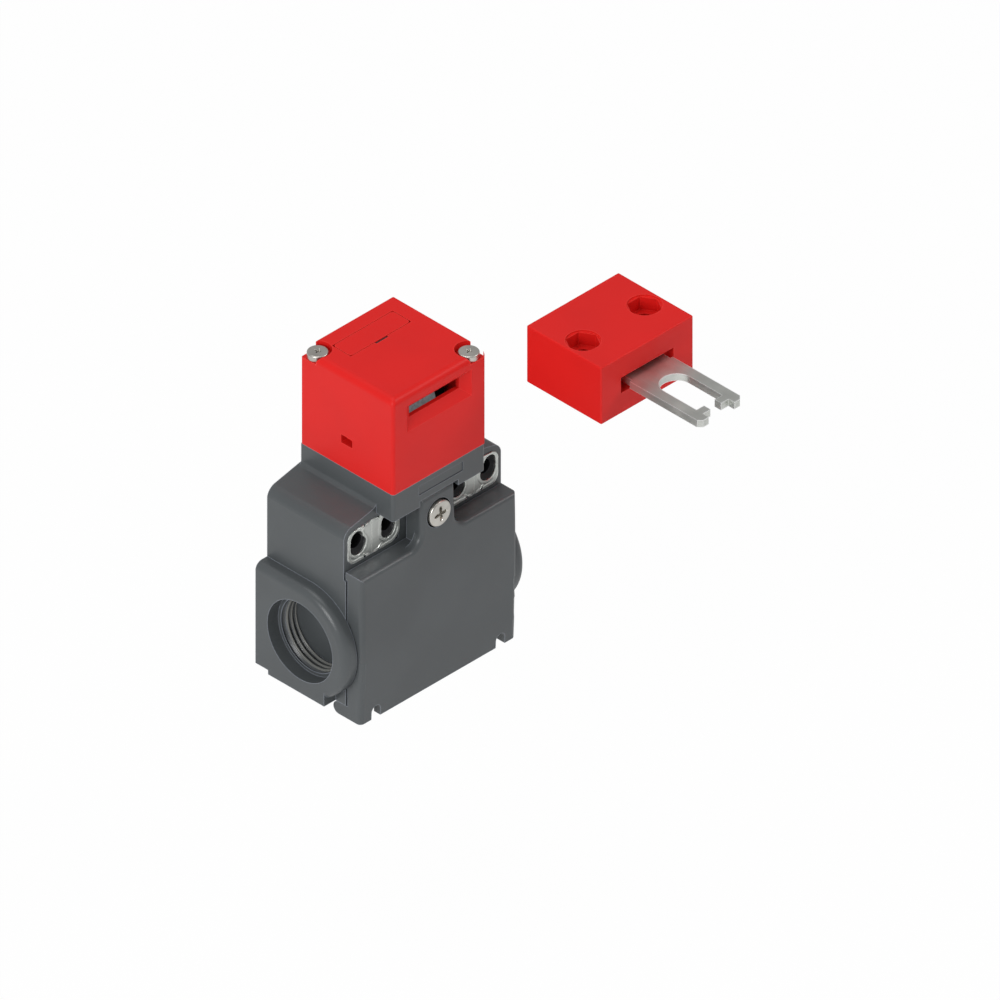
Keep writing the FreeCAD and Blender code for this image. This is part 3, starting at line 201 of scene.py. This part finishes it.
def tint(red, green, blue):
    """Linear colour from one written in the usual 0 to 255."""
    channels = np.array([red, green, blue]) / 255.0
    linear = np.where(channels <= 0.04045, channels / 12.92, ((channels + 0.055) / 1.055) ** 2.4)
    return (*[float(c) for c in linear], 1.0)


def shade(colour, factor):
    """A colour made darker or lighter by a factor."""
    return (*[min(1.0, c * factor) for c in colour[:3]], 1.0)


# Finishes. Noise scales are features per metre, depths and edge widths are metres.

FLOW_SCALE = 55.0
GRAIN_SCALE = 5200.0
GRAIN_DEPTH = 0.012 * MM
SCRATCH_DEPTH = 0.004 * MM
GROUND_DEPTH = 0.003 * MM
BLOOM_DEPTH = 0.01 * MM
MOULDED_EDGE = 0.38 * MM
ROLLED_EDGE = 0.45 * MM
TURNED_EDGE = 0.2 * MM
# Left, right, low and high of the label field on the neck, in millimetres.
LABEL_FIELD = (-6.7, 7.7, 55.9, 58.4)


def moulded(name, colour, gloss, edge_highlight, cloud=0.06, shine=0.3, shade_outlines=()):
    """Moulded plastic: spark-eroded grain, faint flow clouds, and edges a little glossier and made paler by a
    painted highlight.

    Shade outlines are the outlines of engraved fields on the neck's front, (left, right, low, high), darkened as
    painted shade of the engraving.
    """
    finish = Finish(name)
    flow = finish.noise(FLOW_SCALE, 2.0, 0.45)
    fine = finish.noise(GRAIN_SCALE, 2.0, 0.6)
    edges = finish.edge(MOULDED_EDGE)
    base = finish.mix(flow.step(0.3, 0.7), shade(colour, 1 - cloud), shade(colour, 1 + cloud))
    # Painted highlight: the edges are mixed toward a paler colour.
    base = finish.mix(edges * 0.95, base, edge_highlight)
    # Painted shade: the outline of each engraved field is darkened.
    for field in shade_outlines:
        base = finish.mix(finish.field_shade_line(*field) * 0.85, base, shade(colour, 0.35))
    rough = (flow - 0.5) * 0.12 + (fine - 0.5) * 0.08 + gloss - edges * 0.12
    return finish.close(
        Base_Color=base,
        Roughness=rough.clamp(),
        Normal=finish.bump(fine, GRAIN_DEPTH),
        IOR=1.49,
        Specular_IOR_Level=shine,
    )


def rolled(name, colour, rough, along):
    """Rolled or ground metal: long fine scratches along one axis, a cloudy plating and a painted highlight that
    brightens its edges.
    """
    finish = Finish(name)
    spread = 0.12
    stretch = tuple(0.03 if axis == along else 1.0 for axis in "xyz")
    scratch = finish.noise(900.0, 4.0, 0.7, stretch)
    plating = finish.noise(140.0, 3.0, 0.5)
    base = finish.mix(plating.step(0.3, 0.7), shade(colour, 1 - spread), shade(colour, 1 + spread * 0.5))
    base = finish.mix(scratch.step(0.45, 0.75) * 0.35, base, shade(colour, 1 - 2 * spread))
    # Painted highlight on the edges.
    base = finish.mix(finish.edge(ROLLED_EDGE), base, shade(colour, 1.6))
    value = (scratch - 0.5) * 0.25 + (plating - 0.5) * 0.15 + rough
    return finish.close(
        Base_Color=base,
        Metallic=1.0,
        Roughness=value.clamp(),
        Normal=finish.bump(scratch, SCRATCH_DEPTH),
    )


def turned_metal(name, colour, rough):
    """Plated small metal: speckled plating over fine pits, with a painted highlight on its edges."""
    finish = Finish(name)
    speck = finish.noise(1500.0, 3.0, 0.6)
    cloud = finish.noise(200.0, 2.0, 0.5)
    base = finish.mix(cloud.step(0.3, 0.7), shade(colour, 0.85), shade(colour, 1.1))
    # Painted highlight on the edges.
    base = finish.mix(finish.edge(TURNED_EDGE) * 0.5, base, shade(colour, 1.25))
    value = (speck - 0.5) * 0.2 + (cloud - 0.5) * 0.1 + rough
    return finish.close(
        Base_Color=base,
        Metallic=1.0,
        Roughness=value.clamp(),
        Normal=finish.bump(speck, SCRATCH_DEPTH),
    )


def glowing_slot_steel(name, colour, glow):
    """Ground steel deep in the tongue slot: bright scratches, and a faint painted glow that stands in for the
    light it would catch.
    """
    finish = Finish(name)
    scratch = finish.noise(1400.0, 3.0, 0.6, (1.0, 0.05, 1.0))
    base = finish.mix(scratch.step(0.35, 0.7), shade(colour, 0.8), shade(colour, 1.15))
    return finish.close(
        Base_Color=base,
        Metallic=0.4,
        Roughness=((scratch - 0.5) * 0.3 + 0.4).clamp(),
        Normal=finish.bump(scratch, GROUND_DEPTH),
        # Painted light: the steel emits a little of its own colour.
        Emission_Color=base,
        Emission_Strength=glow,
    )


def soft_rubber(name, colour):
    """Matt rubber with a fine bloom."""
    finish = Finish(name)
    bloom = finish.noise(900.0, 4.0, 0.6)
    base = finish.mix(bloom.step(0.35, 0.75), colour, shade(colour, 1.7))
    return finish.close(
        Base_Color=base,
        Roughness=((bloom - 0.5) * 0.2 + 0.78).clamp(),
        Normal=finish.bump(bloom, BLOOM_DEPTH),
        IOR=1.5,
    )


GREY = tint(80, 84, 86)
RED = tint(219, 31, 28)
FINISHES = {
    "grey_plastic": moulded("grey_plastic", GREY, 0.34, tint(134, 139, 148), shine=0.45,
                            shade_outlines=(LABEL_FIELD,)),
    "red_plastic": moulded("red_plastic", RED, 0.42, tint(238, 60, 54), cloud=0.03, shine=0.2),
    "black_plastic": moulded("black_plastic", tint(26, 26, 28), 0.5, tint(58, 58, 62)),
    "white_plastic": moulded("white_plastic", tint(224, 222, 214), 0.45, tint(236, 234, 228)),
    "black_rubber": soft_rubber("black_rubber", tint(30, 30, 31)),
    "zinc_plate": rolled("zinc_plate", tint(204, 207, 203), 0.45, "x"),
    "plated_steel": turned_metal("plated_steel", tint(204, 201, 194), 0.34),
    "bright_steel": rolled("bright_steel", tint(212, 214, 209), 0.4, "y"),
    "brass": turned_metal("brass", tint(205, 170, 96), 0.32),
    "copper_alloy": rolled("copper_alloy", tint(206, 150, 104), 0.35, "x"),
}
# A paler copy of the grey plastic for the thread crests: painted light.
THREAD_PAINTED_LIGHT = moulded("thread_crest_painted_light", tint(118, 119, 116), 0.3, tint(168, 168, 162), shine=0.5)
RIM_STEEL_PAINTED_GLOW = glowing_slot_steel("rim_steel_painted_glow", tint(152, 162, 166), 0.22)
SLOT_OF = {entry["node"]: entry["material_slot"] for entry in frame["record"]["subparts"]}
for name, piece in parts.items():
    piece.data.materials.clear()
    piece.data.materials.append(FINISHES[SLOT_OF[name]])

# Parametric pieces

SAME_PLACE = 0.0002 * MM
SHARP_ANGLE = math.radians(38)
SIDES = ((-1, "left"), (1, "right"))


def sheet_mesh(name, points, body, slot, stands_for=()):
    """A closed mesh from a grid of points, rows along the first parameter and columns round the second.

    The second parameter runs round and joins its start. Rows that shrink to a point become one vertex.
    """
    rows, columns = points.shape[:2]
    here = np.arange(rows * columns).reshape(rows, columns)
    beside = np.roll(here, -1, axis=1)
    faces = np.stack([here[:-1], here[1:], beside[1:], beside[:-1]], axis=-1).reshape(-1, 4)
    mesh = bpy.data.meshes.new(name)
    mesh.from_pydata(points.reshape(-1, 3).tolist(), [], faces.tolist())
    joined = bmesh.new()
    joined.from_mesh(mesh)
    bmesh.ops.remove_doubles(joined, verts=joined.verts, dist=SAME_PLACE)
    bmesh.ops.recalc_face_normals(joined, faces=joined.faces)
    joined.to_mesh(mesh)
    joined.free()
    mesh.shade_smooth()
    mesh.set_sharp_from_angle(angle=SHARP_ANGLE)
    made = bpy.data.objects.new(name, mesh)
    bpy.context.scene.collection.objects.link(made)
    mesh.materials.append(FINISHES[slot])
    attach(made, body)
    if stands_for:
        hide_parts(*stands_for)
    return made


def smooth(share):
    """Smooth step: 0 below a share of 0, 1 above 1, and 3 s^2 - 2 s^3 between."""
    share = np.clip(share, 0, 1)
    return share * share * (3 - 2 * share)


def round_corner(start, end, centre, steps):
    """Quarter-turn points from start to end about a centre, both ends left out."""
    angle = np.linspace(0, math.pi / 2, steps + 2)[1:-1, None]
    start, end, centre = (np.asarray(v, float) for v in (start, end, centre))
    return list(centre + (start - centre) * np.cos(angle) + (end - centre) * np.sin(angle))


SCREW_COLUMNS = 128
FACE_RINGS = 34
HEAD_BREAK = 0.1
END_CHAMFER = 0.3


def driven_screw(name, profile, recess, axes, origin, body, node):
    """A turned screw with a cross recess pressed into its face.

    The surface is the profile (radius, height) turned about the axis: at angle t the point is
    radius * (cos t, sin t) at that height. Inside the recess the height drops by
    wall * floor, where the recess reaches out to hub + (reach - hub) * |cos 2t| ** blade,
    wall climbs from 0 at that outline to 1 a little inside it, and floor deepens to the middle.
    """
    reach, hub, blade, deep, turn = (recess[key] for key in ("reach", "hub", "blade", "deep", "turn"))
    wall_width, rim_floor, face_depth, margin = 0.28, 0.45, 0.6, 0.1
    angle = np.linspace(0, 2 * math.pi, SCREW_COLUMNS, endpoint=False)[None, :]
    radius = profile[:, 0][:, None]
    height = profile[:, 1][:, None]
    outline = hub + (reach - hub) * np.abs(np.cos(2 * (angle - turn))) ** blade
    wall = smooth((outline - radius) / wall_width)
    floor = deep * (rim_floor + (1 - rim_floor) * (1 - np.clip(radius / reach, 0, 1)))
    face = (height > profile[0, 1] - face_depth) & (radius < reach + margin)
    height = height - np.where(face, wall * floor, 0.0)
    across, upward, outward = (np.asarray(v, float) for v in axes)
    flat = radius * np.cos(angle)
    tall = radius * np.sin(angle)
    offset = (
        flat[..., None] * across
        + tall[..., None] * upward
        + (height + 0 * angle)[..., None] * outward
    )
    return sheet_mesh(name, placed(origin) + offset * MM, body, "plated_steel", (node,))


def screw_profile(radius, top, crown, thick, shank, end):
    """Radius and height from the face's middle, over its rounded rim, down the shank to its end."""
    under = top - thick
    rim_start, rim_end = (radius - crown, top), (radius, top - crown)
    rim = [rim_start, *round_corner(rim_start, rim_end, (radius - crown, top - crown), 5), rim_end]
    rim += [(radius, under + HEAD_BREAK), (radius - HEAD_BREAK, under), (shank, under)]
    rim += [(shank, end + END_CHAMFER), (shank - END_CHAMFER, end), (0.0, end)]
    flat = np.linspace(0, radius - crown, FACE_RINGS, endpoint=False)
    face = np.stack([flat, np.full(FACE_RINGS, top)], 1)
    return np.vstack([face, np.asarray(rim)])


RIGHT, BACK, UP, FRONT = (1, 0, 0), (0, 1, 0), (0, 0, 1), (0, -1, 0)
# Heights along a screw count forward from the head's middle plane in the cover screw, and upward from
# the cover's bottom in the head screws. Face, end and place are those of the CAD screw.
cover_screw_low, cover_screw_high = box_of("cover_screw")
COVER_SCREW_HEIGHT = (cover_screw_low[2] + cover_screw_high[2]) / 2
COVER_SCREW = screw_profile(radius=3.4, top=-cover_screw_low[1], crown=0.45, thick=2.4, shank=1.9,
                            end=-cover_screw_high[1])
COVER_RECESS = {"reach": 2.15, "hub": 0.62, "blade": 2.6, "deep": 1.5, "turn": math.radians(4)}
head_screw_low, head_screw_high = box_of("head_screw_left")
HEAD_SCREW_PLACE = (head_screw_low[1] + head_screw_high[1]) / 2
HEAD_SCREW = screw_profile(radius=2.55, top=head_screw_high[2], crown=0.35, thick=1.6, shank=1.4,
                           end=head_screw_low[2])
HEAD_RECESS = {"reach": 1.0, "hub": 0.3, "blade": 5.0, "deep": 1.0, "turn": math.radians(20)}

driven_screw("cover_screw_cross", COVER_SCREW, COVER_RECESS, (RIGHT, UP, FRONT),
             (0, 0, COVER_SCREW_HEIGHT), "cover_screw", "cover_screw")
for side, word in SIDES:
    driven_screw(f"head_screw_{word}_cross", HEAD_SCREW, HEAD_RECESS, (RIGHT, BACK, UP),
                 (side * HEAD_SCREW_PLACE, -side * HEAD_SCREW_PLACE, 0), "switch", f"head_screw_{word}")


def lobes(angle, middle, circles):
    """Distance from a middle point to the outline of overlapping circles that all hold it.

    For a circle at offset c with radius r the ray along u leaves it at
    c . u + root(r squared - (c x u) squared); the outline is the farthest of these.
    """
    ux, uz = np.cos(angle), np.sin(angle)
    reach = np.zeros_like(angle)
    for x, z, radius in circles:
        cx, cz = x - middle[0], z - middle[1]
        cross = cx * uz - cz * ux
        reach = np.maximum(reach, cx * ux + cz * uz + np.sqrt(np.maximum(radius ** 2 - cross ** 2, 0)))
    return reach


def rounded_outline(corners, samples=14, straight=60):
    """Points round a polygon whose corners (x, z, radius) are turned into arcs touching both sides.

    Each corner has samples points on its arc and straight steps along the side that follows.
    """
    corners = np.asarray(corners, float)
    place, radius = corners[:, :2], corners[:, 2]
    before = np.roll(place, 1, axis=0) - place
    after = np.roll(place, -1, axis=0) - place
    before = before / np.linalg.norm(before, axis=1, keepdims=True)
    after = after / np.linalg.norm(after, axis=1, keepdims=True)
    half = np.arccos(np.clip((before * after).sum(1), -1, 1)) / 2
    back_off = (radius / np.tan(half))[:, None]
    inward = (before + after) / np.linalg.norm(before + after, axis=1, keepdims=True)
    middle = place + inward * (radius / np.sin(half))[:, None]
    start, end = place + before * back_off, place + after * back_off
    share = np.linspace(0, 1, samples)[None, :, None]
    arc = start[:, None] * (1 - share) + end[:, None] * share - middle[:, None]
    length = np.maximum(np.linalg.norm(arc, axis=2, keepdims=True), 1e-9)
    arc = middle[:, None] + arc / length * np.maximum(radius, 1e-6)[:, None, None]
    run = np.linspace(0, 1, straight, endpoint=False)[None, 1:, None]
    line = end[:, None] * (1 - run) + np.roll(start, -1, axis=0)[:, None] * run
    return np.concatenate([arc, line], axis=1).reshape(-1, 2)


def reach_of(outline, middle, angle):
    """Distance from a middle point to an outline that it sees all of, at each angle."""
    away = outline - np.asarray(middle)
    turned = np.arctan2(away[:, 1], away[:, 0])
    order = np.argsort(turned)
    return np.interp(angle, turned[order], np.hypot(away[:, 0], away[:, 1])[order], period=2 * math.pi)


plate_low, plate_high = box_of("fixing_plate_right")
PLATE_TIP, PLATE_REAR, PLATE_TOP = plate_high
PLATE_FOOT = plate_low[2]
PLATE_FACE = PLATE_REAR - 1.12
PLATE_SEAM = 16.7
PLATE_NICKS = (18.8, 14.6)
# Openings of a plate as overlapping circles (x, z, radius), and the outlines of its two ends.
OUTER_LOBES = [(21.1, 46.4, 2.5), (21.65, 47.5, 2.0), (21.6, 48.6, 1.95)]
INNER_LOBES = [(11.35, 46.3, 2.3), (11.35, 47.5, 2.3), (11.35, 48.6, 2.3)]
SEAM_TOP = 51.42
OUTER_END = [(PLATE_SEAM, PLATE_FOOT, 0.0), (PLATE_TIP, PLATE_FOOT, 2.4), (PLATE_TIP, 51.0, 2.4),
             (PLATE_SEAM, SEAM_TOP, 0.0)]
INNER_END = [(7.6, PLATE_FOOT, 3.2), (PLATE_SEAM, PLATE_FOOT, 0.0), (PLATE_SEAM, SEAM_TOP, 0.0),
             (7.6, PLATE_TOP, 3.2)]
OUTER_MIDDLE = (21.2, 47.3)
INNER_MIDDLE = (11.35, 47.3)
SHADE_BUSH_AIR = 0.02


def fixing_hole(mount):
    """The right fixing hole of a pair, as a circle (x, z, radius) just inside the housing's hole."""
    dims = MOUNTS[mount]["dims"]
    middle_z = source_place(MOUNTS[mount]["pos_m"])[2]
    return (dims["spacing_x_mm"] / 2, middle_z, dims["hole_r_mm"] - SHADE_BUSH_AIR)


OUTER_HOLE = fixing_hole("fixing_holes_outer")
INNER_HOLE = fixing_hole("fixing_holes_inner")


def turned_points(side, middle, angle, radius, depth):
    """Points of rows of radius round a middle, at a depth behind the head's middle plane."""
    x = side * (middle[0] + radius * np.cos(angle))
    z = middle[1] + radius * np.sin(angle)
    return placed(np.stack([x, depth + 0 * radius, z], axis=-1))


def plate_end(name, side, middle, holes, outline, node):
    """One end of a fixing plate: a pressed sheet with a raised band at its outline and its opening.

    At angle t the sheet runs from the outline's reach to the opening's reach. Its face stands
    band_high * (fall(a) + fall(b)) forward, a and b being the distances to outline and opening and
    fall a smooth step down at the band's width. Where the two ends of a plate meet there is no band.
    """
    columns, rows = 360, 22
    nick_deep, nick_half, plate_middle, plate_edge = 0.75, 0.38, 46.9, 3.5
    band_width, band_slope, band_high = 0.65, 0.3, 0.16
    seam_gap, seam_slope = 0.25, 0.8
    broken, broken_deep = 0.1, 0.12
    angle = np.linspace(-math.pi, math.pi, columns, endpoint=False)
    outer = reach_of(rounded_outline(outline), middle, angle)
    inner = lobes(angle, middle, holes)
    edge_x = middle[0] + outer * np.cos(angle)
    edge_z = middle[1] + outer * np.sin(angle)
    for nick in PLATE_NICKS:
        in_nick = (np.abs(edge_x - nick) < nick_half) * (np.abs(edge_z - plate_middle) > plate_edge)
        outer = outer - nick_deep * in_nick
    open_edge = np.clip((np.abs(edge_x - PLATE_SEAM) - seam_gap) / seam_slope, 0, 1)
    share = np.linspace(0, 1, rows)[:, None]
    radius = outer + (inner - outer) * share
    width = np.abs(outer - inner)[None, :]

    def fall(distance):
        return 1 - smooth((distance - band_width) / band_slope)

    band = fall(share * width) * open_edge + fall((1 - share) * width)
    face = PLATE_FACE - band_high * np.clip(band, 0, 1)
    outer, inner = outer[None], inner[None]
    rear = PLATE_REAR + 0 * outer
    radius = np.vstack([
        outer, outer, radius[:1] - broken, radius[1:-1], radius[-1:] + broken, inner, inner, outer,
    ])
    depth = np.vstack([
        rear, face[:1] + broken_deep, face[:1], face[1:-1], face[-1:], face[-1:] + broken_deep, rear, rear,
    ])
    points = turned_points(side, middle, angle, radius, depth)
    return sheet_mesh(name, points, "switch", "zinc_plate", (node,))


# One row each: share of the way out to the opening, inset into the hole, and depth.
SHADE_BUSH_ROWS = [
    (1.0, 0.0, -8.52), (1.0, 0.0, -9.15), (0.93, 0.0, -9.25), (0.5, 0.0, -9.05), (0.1, 0.0, -8.75),
    (0.0, 0.2, -8.6), (0.0, 0.2, 3.0), (0.0, 0.0, 3.0), (0.0, 0.0, -8.52), (0.5, 0.0, -8.52),
    (1.0, 0.0, -8.52),
]


def shade_bush(name, side, middle, holes, hole):
    """A black piece behind a plate opening, with a cone down to the fixing hole, that stands in for the shade deep
    in the opening: painted shade.

    At angle t its outer wall lies just inside the opening's outline and its inner wall just inside
    the hole's circle. The rows share these two by weights, and the last rows line the hole.
    """
    columns, air = 120, 0.04
    angle = np.linspace(-math.pi, math.pi, columns, endpoint=False)
    inner = lobes(angle, middle, [hole])
    outer = np.maximum(lobes(angle, middle, holes) - air, inner + air)
    weights, inset, depth = np.array(SHADE_BUSH_ROWS).T[:, :, None]
    radius = inner + (outer - inner) * weights - inset
    points = turned_points(side, middle, angle, radius, depth)
    return sheet_mesh(name, points, "switch", "black_plastic")


for side, word in SIDES:
    node = f"fixing_plate_{word}"
    plate_end(f"plate_outer_end_{word}", side, OUTER_MIDDLE, OUTER_LOBES, OUTER_END, node)
    plate_end(f"plate_inner_end_{word}", side, INNER_MIDDLE, INNER_LOBES, INNER_END, node)
    # Black pieces in the openings: painted shade.
    shade_bush(f"outer_shade_bush_{word}", side, OUTER_MIDDLE, OUTER_LOBES, OUTER_HOLE)
    shade_bush(f"inner_shade_bush_{word}", side, INNER_MIDDLE, INNER_LOBES, INNER_HOLE)


def cam_ring():
    """The steel rim that shows in the tongue slot: a band bent round the cam's axis.

    A point at angle t and place x lies at radius 10.2 less the grooves, from the axis of the cam's
    joint. A narrow groove and a square notch divide the band, as the drive posts do.
    """
    columns, rows = 124, 60
    axis_y, axis_z = source_place(JOINTS["cam_turn"]["pos_m"])[1:]
    outer_radius, inner_radius = 10.2, 9.6
    left, right, start, end = -7.9, 4.4, 208, 264
    groove_middle, groove_half, groove_deep = -2.05, 0.16, 0.55
    notch_middle, notch_half, notch_deep, notch_end = 0.45, 0.3, 0.35, math.radians(247)
    place = np.linspace(left, right, columns)
    angle = np.radians(np.linspace(start, end, rows))[:, None]
    groove = groove_deep * (np.abs(place - groove_middle) < groove_half)
    notch = notch_deep * (np.abs(place - notch_middle) < notch_half) * (angle < notch_end)

    def band(radius):
        return np.stack([
            0 * radius + place,
            axis_y + radius * np.sin(angle),
            axis_z - radius * np.cos(angle),
        ], axis=-1)

    top = band(outer_radius - (groove + notch))
    under = band(inner_radius + 0 * (groove + notch))
    points = np.concatenate([top, under[:, ::-1]], axis=1)
    # Each end closes on the middle line between the band's two faces, which lie in reverse order.
    first, last = (0.5 * (row + row[:, ::-1]) for row in (points[:1], points[-1:]))
    points = placed(np.concatenate([first, points, last]))
    made = sheet_mesh("cam_ring", points, "cam", "bright_steel")
    # The rim's material glows faintly: painted light.
    made.data.materials[0] = RIM_STEEL_PAINTED_GLOW
    return made


cam_ring()


def slit_shade_lip():
    """A black lip inside the pry slit that stands in for the shade in it, painted shade: a bar whose section is a
    rounded box, |x|^8 + |y|^8 = 1.
    """
    columns, power = 64, 0.25
    middle_x, middle_y, half_x, half_y = 0.85, 4.55, 2.03, 0.23
    turn = np.linspace(0, 2 * math.pi, columns, endpoint=False)[None, :]
    wide = np.sign(np.cos(turn)) * np.abs(np.cos(turn)) ** power
    deep = np.sign(np.sin(turn)) * np.abs(np.sin(turn)) ** power
    size = np.array([0.0, 0.9, 1.0, 1.0, 0.9, 0.0])[:, None]
    head_top = box_of("head")[1][2]
    level = head_top - np.array([2.5, 2.5, 2.4, 0.2, 0.12, 0.12])[:, None]
    x = middle_x + half_x * wide * size
    y = middle_y + half_y * deep * size
    points = placed(np.stack([x, y, level + 0 * x], axis=-1))
    return sheet_mesh("slit_shade_lip", points, "switch", "black_plastic")


slit_shade_lip()


def conduit_thread(name, side, mount):
    """A cut thread's crests: a rounded ridge carried along a helix inside the conduit bore.

    At angle t the ridge's middle lies at radius 9.62 about the conduit's axis, and its depth in the
    mouth is first_crest + pitch * t / turn. Its crest stands 0.42 inward and fades to almost nothing
    over a third of a turn at either end.
    """
    turns, steps, columns = 3.1, 420, 14
    axis_y, axis_z = source_place(MOUNTS[mount]["pos_m"])[1:]
    boss_face = box_of("housing")[1][0]
    root_radius, pitch, first_crest = 9.62, 1.41, 4.05
    crest_high, back_share, crest_half = 0.42, 0.35, 0.3
    fade_angle, least, start_angle = 2.1, 0.02, 0.6
    angle = np.linspace(0, 2 * math.pi * turns, steps)
    fade = smooth(np.minimum(angle, angle[-1] - angle) / fade_angle)
    around = np.linspace(0, 2 * math.pi, columns, endpoint=False)
    high = crest_high * np.cos(around)[None, :] * np.where(np.cos(around) > 0, 1.0, back_share)[None, :]
    wide = crest_half * np.sin(around)[None, :]
    size = least + (1 - least) * fade[:, None]
    radius = root_radius - high * size
    along = first_crest + pitch * angle[:, None] / (2 * math.pi) + wide * size
    y = axis_y + radius * np.cos(angle + start_angle)[:, None]
    z = axis_z + radius * np.sin(angle + start_angle)[:, None]
    points = placed(np.stack([side * (boss_face - along), y, z], axis=-1))
    first, last = (row.mean(axis=1, keepdims=True) + 0 * row for row in (points[:1], points[-1:]))
    made = sheet_mesh(name, np.concatenate([first, points, last]), "switch", "grey_plastic")
    # Paler crests than the housing: painted light.
    made.data.materials[0] = THREAD_PAINTED_LIGHT
    return made


for side, word in SIDES:
    conduit_thread(f"conduit_thread_{word}", side, f"conduit_{word}")

# Camera: the photograph's isometric view, looking along +X +Y -Z.

PICTURE = 1000
SCALE = 4.34  # pixels of the picture per millimetre
DISTANCE = 1.2
camera_data = bpy.data.cameras.new("isometric_camera")
camera_data.type = "ORTHO"
camera_data.ortho_scale = PICTURE / SCALE * MM
camera = bpy.data.objects.new("isometric_camera", camera_data)
bpy.context.scene.collection.objects.link(camera)
bpy.context.scene.camera = camera
look = Vector((1, 1, -1)).normalized()
camera.rotation_mode = "QUATERNION"
camera.rotation_quaternion = look.to_track_quat("-Z", "Y")
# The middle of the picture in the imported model's millimetres: X - Y is across and X + Y + 2Z is upward.
across = 50.3
upward = -22.1
middle = Vector((across / 2, -across / 2, upward / 2)) * MM
camera.location = middle - look * DISTANCE
camera_data.clip_start = 0.05
camera_data.clip_end = 20.0

# Floor and backdrop, and the lamps of a small studio.


def plain_floor(level):
    """A large pale square that the camera sees as nearly white."""
    size, white_share = 3.0, 0.97
    square = size * np.array([(-1, -1), (1, -1), (1, 1), (-1, 1)])
    corners = np.column_stack([square, np.full(4, level)])
    mesh = bpy.data.meshes.new("studio_floor")
    mesh.from_pydata(corners.tolist(), [], [(0, 1, 2, 3)])
    made = bpy.data.objects.new("studio_floor", mesh)
    bpy.context.scene.collection.objects.link(made)
    finish = Finish("studio_floor")
    cloud = finish.noise(3.0, 2.0, 0.5)
    base = finish.mix(cloud.step(0.3, 0.7), (0.86, 0.86, 0.86, 1), (0.88, 0.88, 0.88, 1))
    shader = finish.node("ShaderNodeBsdfPrincipled", {}, {"Base Color": base, "Roughness": 0.9}, "BSDF")
    lit = finish.node("ShaderNodeEmission", {}, {"Color": (1, 1, 1, 1), "Strength": 1.0}, "Emission")
    camera_ray = finish.node("ShaderNodeLightPath", {}, {}, "Is Camera Ray")
    both = finish.node("ShaderNodeMixShader", {}, {0: camera_ray * white_share, 1: shader, 2: lit}, "Shader")
    finish.tree.links.new(both.socket, finish.out.inputs["Surface"])
    mesh.materials.append(finish.material)
    return made


FLOOR_LEVEL = -60
plain_floor(placed((0, 0, FLOOR_LEVEL))[2])

world = bpy.data.worlds.new("studio")
bpy.context.scene.world = world
world.use_nodes = True
tree = world.node_tree
tree.nodes.clear()
out = tree.nodes.new("ShaderNodeOutputWorld")
rays = tree.nodes.new("ShaderNodeLightPath")
pick = tree.nodes.new("ShaderNodeMixShader")
tree.links.new(rays.outputs["Is Camera Ray"], pick.inputs[0])
# Soft light on the object, and white where the camera sees past it.
for socket, strength in ((1, 0.42), (2, 1.0)):
    glow = tree.nodes.new("ShaderNodeBackground")
    glow.inputs["Color"].default_value = (1, 1, 1, 1)
    glow.inputs["Strength"].default_value = strength
    tree.links.new(glow.outputs[0], pick.inputs[socket])
tree.links.new(pick.outputs[0], out.inputs["Surface"])


LAMP_TARGET = Vector((0.01, -0.02, 0.0))


def lamp(name, place, power, size):
    """A square area lamp aimed at the object's middle; metres and watts."""
    data = bpy.data.lights.new(name, "AREA")
    data.energy = power
    data.size = size
    made = bpy.data.objects.new(name, data)
    made.location = place
    aim = LAMP_TARGET - Vector(place)
    made.rotation_mode = "QUATERNION"
    made.rotation_quaternion = aim.to_track_quat("-Z", "Y")
    bpy.context.scene.collection.objects.link(made)


lamp("left_lamp", (-0.9, -0.25, 0.45), 5.0, 0.45)
lamp("front_lamp", (0.68, -0.68, 0.7), 2.6, 0.3)
lamp("top_lamp", (-0.1, 0.15, 1.1), 2.9, 0.6)
bpy.context.scene.view_settings.view_transform = "Standard"
